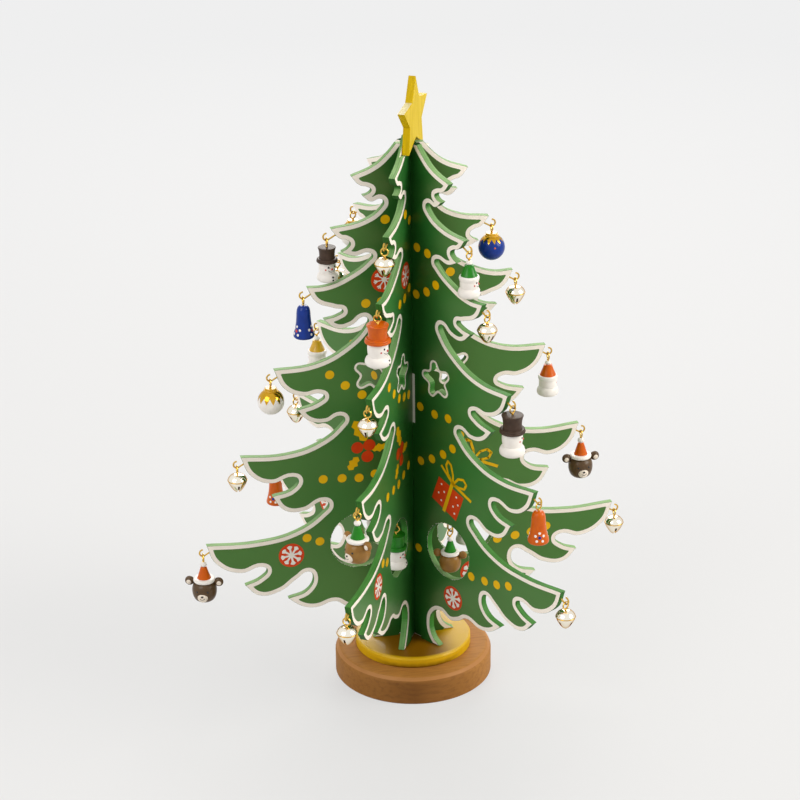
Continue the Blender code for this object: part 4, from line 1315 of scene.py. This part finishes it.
def jingle_shell(share):
    """The slotted shell of a jingle bell, in millimetres below the hanging point."""
    shape = bmesh.new()
    turned_part(shape, (
        (0, 0.0), (1.6, 0.12), (3.3, 0.85), (4.35, 2.2), (4.55, 3.1), (4.55, 3.1), (4.15, 4.4), (3.4, 5.9),
        (2.4, 7.5), (1.2, 8.8), (0, 9.4),
    ), share, share, "gilt", 40)
    turned_part(shape, (
        (0, 9.0), (1.0, 8.5), (2.1, 7.3), (3.05, 5.8), (3.8, 4.3), (4.2, 3.1), (4.0, 2.3), (3.0, 1.2),
        (1.5, 0.5), (0, 0.4),
    ), share, share, "gilt", 40)
    cutters = []
    for turn in (0, 90):
        block = bmesh.new()
        for y in (-0.45 * share, 0.45 * share):
            corners = [(x * share, y, BODY_TOP - depth * share) for x, depth in SLOT_LINE]
            block.faces.new([block.verts.new(corner) for corner in corners])
        bmesh.ops.bridge_loops(block, edges=block.edges)
        cutter = mesh_of(block, "cutter")
        cutter.transform(Matrix.Rotation(math.radians(turn), 4, "Z"))
        cutters.append(cutter)
    mesh = cut_with(mesh_of(shape, "shell"), cutters, "jingle_shell")
    for face in mesh.polygons:
        far = math.hypot(face.center.x, face.center.y) / share
        depth = (BODY_TOP - face.center.z) / share
        if 4.5 < depth < 9.3 and far < 4.2 and abs(face.normal.z) < 0.05:
            face.material_index = PAINT["rim"]
    return mesh


shells = {share: jingle_shell(share) for share in (1, 0.88)}


def add_jingle(shape, share):
    shape.from_mesh(shells[share])
    rim = smooth_line(((4.45, 2.85), (4.62, 2.9), (4.7, 3.1), (4.62, 3.3), (4.45, 3.38)), 2)
    add_turned(shape, [(r * share, BODY_TOP - depth * share) for r, depth in rim], 40, PAINT["rim"])
    add_oval(shape, (0.3, 0.2, BODY_TOP - 6.9 * share), (1.3, 1.3, 1.3), "inside", None, 12, 8)


print("Shell faces:", {share: len(mesh.polygons) for share, mesh in shells.items()})

# %% [markdown]
# The bear heads are a ball with round ears and a pale muzzle, under a felt-like cone hat with a thick
# white brim.

# %% Bear heads


def add_bear(shape, fur, share):
    radius, height = 5.9 * share, 20.5 * share
    add_oval(shape, (0, 0, BODY_TOP - 0.055 * height), (1.65 * share, 1.65 * share, 1.35 * share), "white")
    turned_part(shape, (
        (0, 0.115), (0.20, 0.118), (0.26, 0.14), (0.36, 0.23), (0.47, 0.33), (0.56, 0.40), (0.58, 0.43),
        (0.58, 0.43), (0, 0.43),
    ), radius, height, "orange" if fur == "dark" else "green")
    turned_part(shape, (
        (0, 0.40), (0.66, 0.40), (0.82, 0.408), (0.88, 0.435), (0.86, 0.465), (0.74, 0.485), (0, 0.49),
    ), radius, height, "white")
    head = turned_part(shape, (
        (0, 0.47), (0.55, 0.48), (0.82, 0.53), (0.97, 0.62), (1.0, 0.71), (0.95, 0.82), (0.78, 0.925),
        (0.45, 0.985), (0, 1.0),
    ), radius, height, fur)
    ear_z = BODY_TOP - height * 0.49
    ear_radii = (0.6 * share, 1.3 * share, 1.3 * share)
    for side in (-1, 1):
        add_oval(shape, (0, side * 7.0 * share, ear_z), (1.5 * share, 2.3 * share, 2.3 * share), fur)
        add_oval(shape, (1.05 * share, side * 7.2 * share, ear_z - 0.2), ear_radii, "cream", None, 12, 8)
        add_dot(shape, head, BODY_TOP - height * 0.66, side * 26, 0.5 * share, "ink", 0.3)
    muzzle = Vector((4.95 * share, 0, BODY_TOP - height * 0.80))
    tilt = Matrix.Rotation(math.radians(-6), 3, "Y")
    add_oval(shape, muzzle, (1.6 * share, 2.5 * share, 2.45 * share), "cream", tilt, 24, 16)
    nose = muzzle + tilt @ Vector((1.55 * share, 0, 0.7 * share))
    add_oval(shape, nose, (0.3, 0.62 * share, 0.48 * share), "ink", tilt, 12, 8)
    smile = []
    for s in [i / 4 for i in range(-4, 5)]:
        y, z = s * 1.25, -0.75 + 0.65 * s * s
        x = 1.6 * math.sqrt(max(0, 1 - (y / 2.5) ** 2 - (z / 2.45) ** 2)) + 0.03
        smile.append(muzzle + tilt @ (Vector((x, y, z)) * share))
    add_wire(shape, smile, 0.11, PAINT["ink"], 6)


print("Bears ready")

# %% [markdown]
# The last step hangs them all. The CAD model's joints say where each ornament hangs and along which line
# it swings, so each piece is placed from its own joint, rides on its own body and stands for its own CAD
# node. Figures look the way that they do in the photograph, and the hidden ones look outwards.

# %% Hang the ornaments
LOOKS = {
    "top_hat_black_left_level_2": 292, "bear_dark_left_level_6": 250, "bell_blue_left_level_3": 205,
    "top_hat_orange_front_left_level_3": 320, "bear_light_front_left_level_5": 207,
    "top_hat_green_front_left_window": 330, "bear_light_front_right_window": 63,
    "cone_hat_green_front_right_level_2": 335, "top_hat_black_front_right_level_4": 346,
    "bell_orange_front_right_level_5": 262, "bear_dark_right_level_5": 270,
    "cone_hat_orange_right_level_4": 20,
}
SMALL = {"top_hat_black_left_level_2": 0.82}
WINDOW_SHARE = 0.88
MAKERS = dict(top_hat=add_top_hat, cone_hat=add_cone_hat, bell=add_bell, ball=add_ball, bear=add_bear)


def kind_of(name):
    """The kind and colour in an ornament's name. Longer wings come first, so back_left isn't read as left."""
    wing = next(wing for wing in sorted(WINGS, key=len, reverse=True) if f"_{wing}_" in name)
    return name.split("_" + wing)[0]


def make_ornament(joint):
    name = joint["child"]
    share = WINDOW_SHARE if name.endswith("_window") else SMALL.get(name, 1)
    way = math.atan2(joint["axis"][1], joint["axis"][0])
    look = math.radians(LOOKS[name]) if name in LOOKS else way
    shape = bmesh.new()
    kind = kind_of(name)
    maker, _, colour = kind.rpartition("_")
    if maker:
        MAKERS[maker](shape, colour, share)
    else:
        add_jingle(shape, share)
    bmesh.ops.rotate(shape, verts=shape.verts, cent=(0, 0, 0), matrix=Matrix.Rotation(look - way, 3, "Z"))
    add_eye(shape)
    bmesh.ops.scale(shape, verts=shape.verts, vec=(MM, MM, MM))
    mesh = mesh_of(shape, name + "_look")
    matrix = Matrix.Translation(joint["pos_m"]) @ Matrix.Rotation(way, 4, "Z")
    place_piece(name + "_look", mesh, PAINTS, matrix, name, name)
    return len(mesh.polygons)


counts = [make_ornament(joint) for joint in frame["joints"]]
print("Ornaments:", len(counts), "with", sum(counts), "faces")
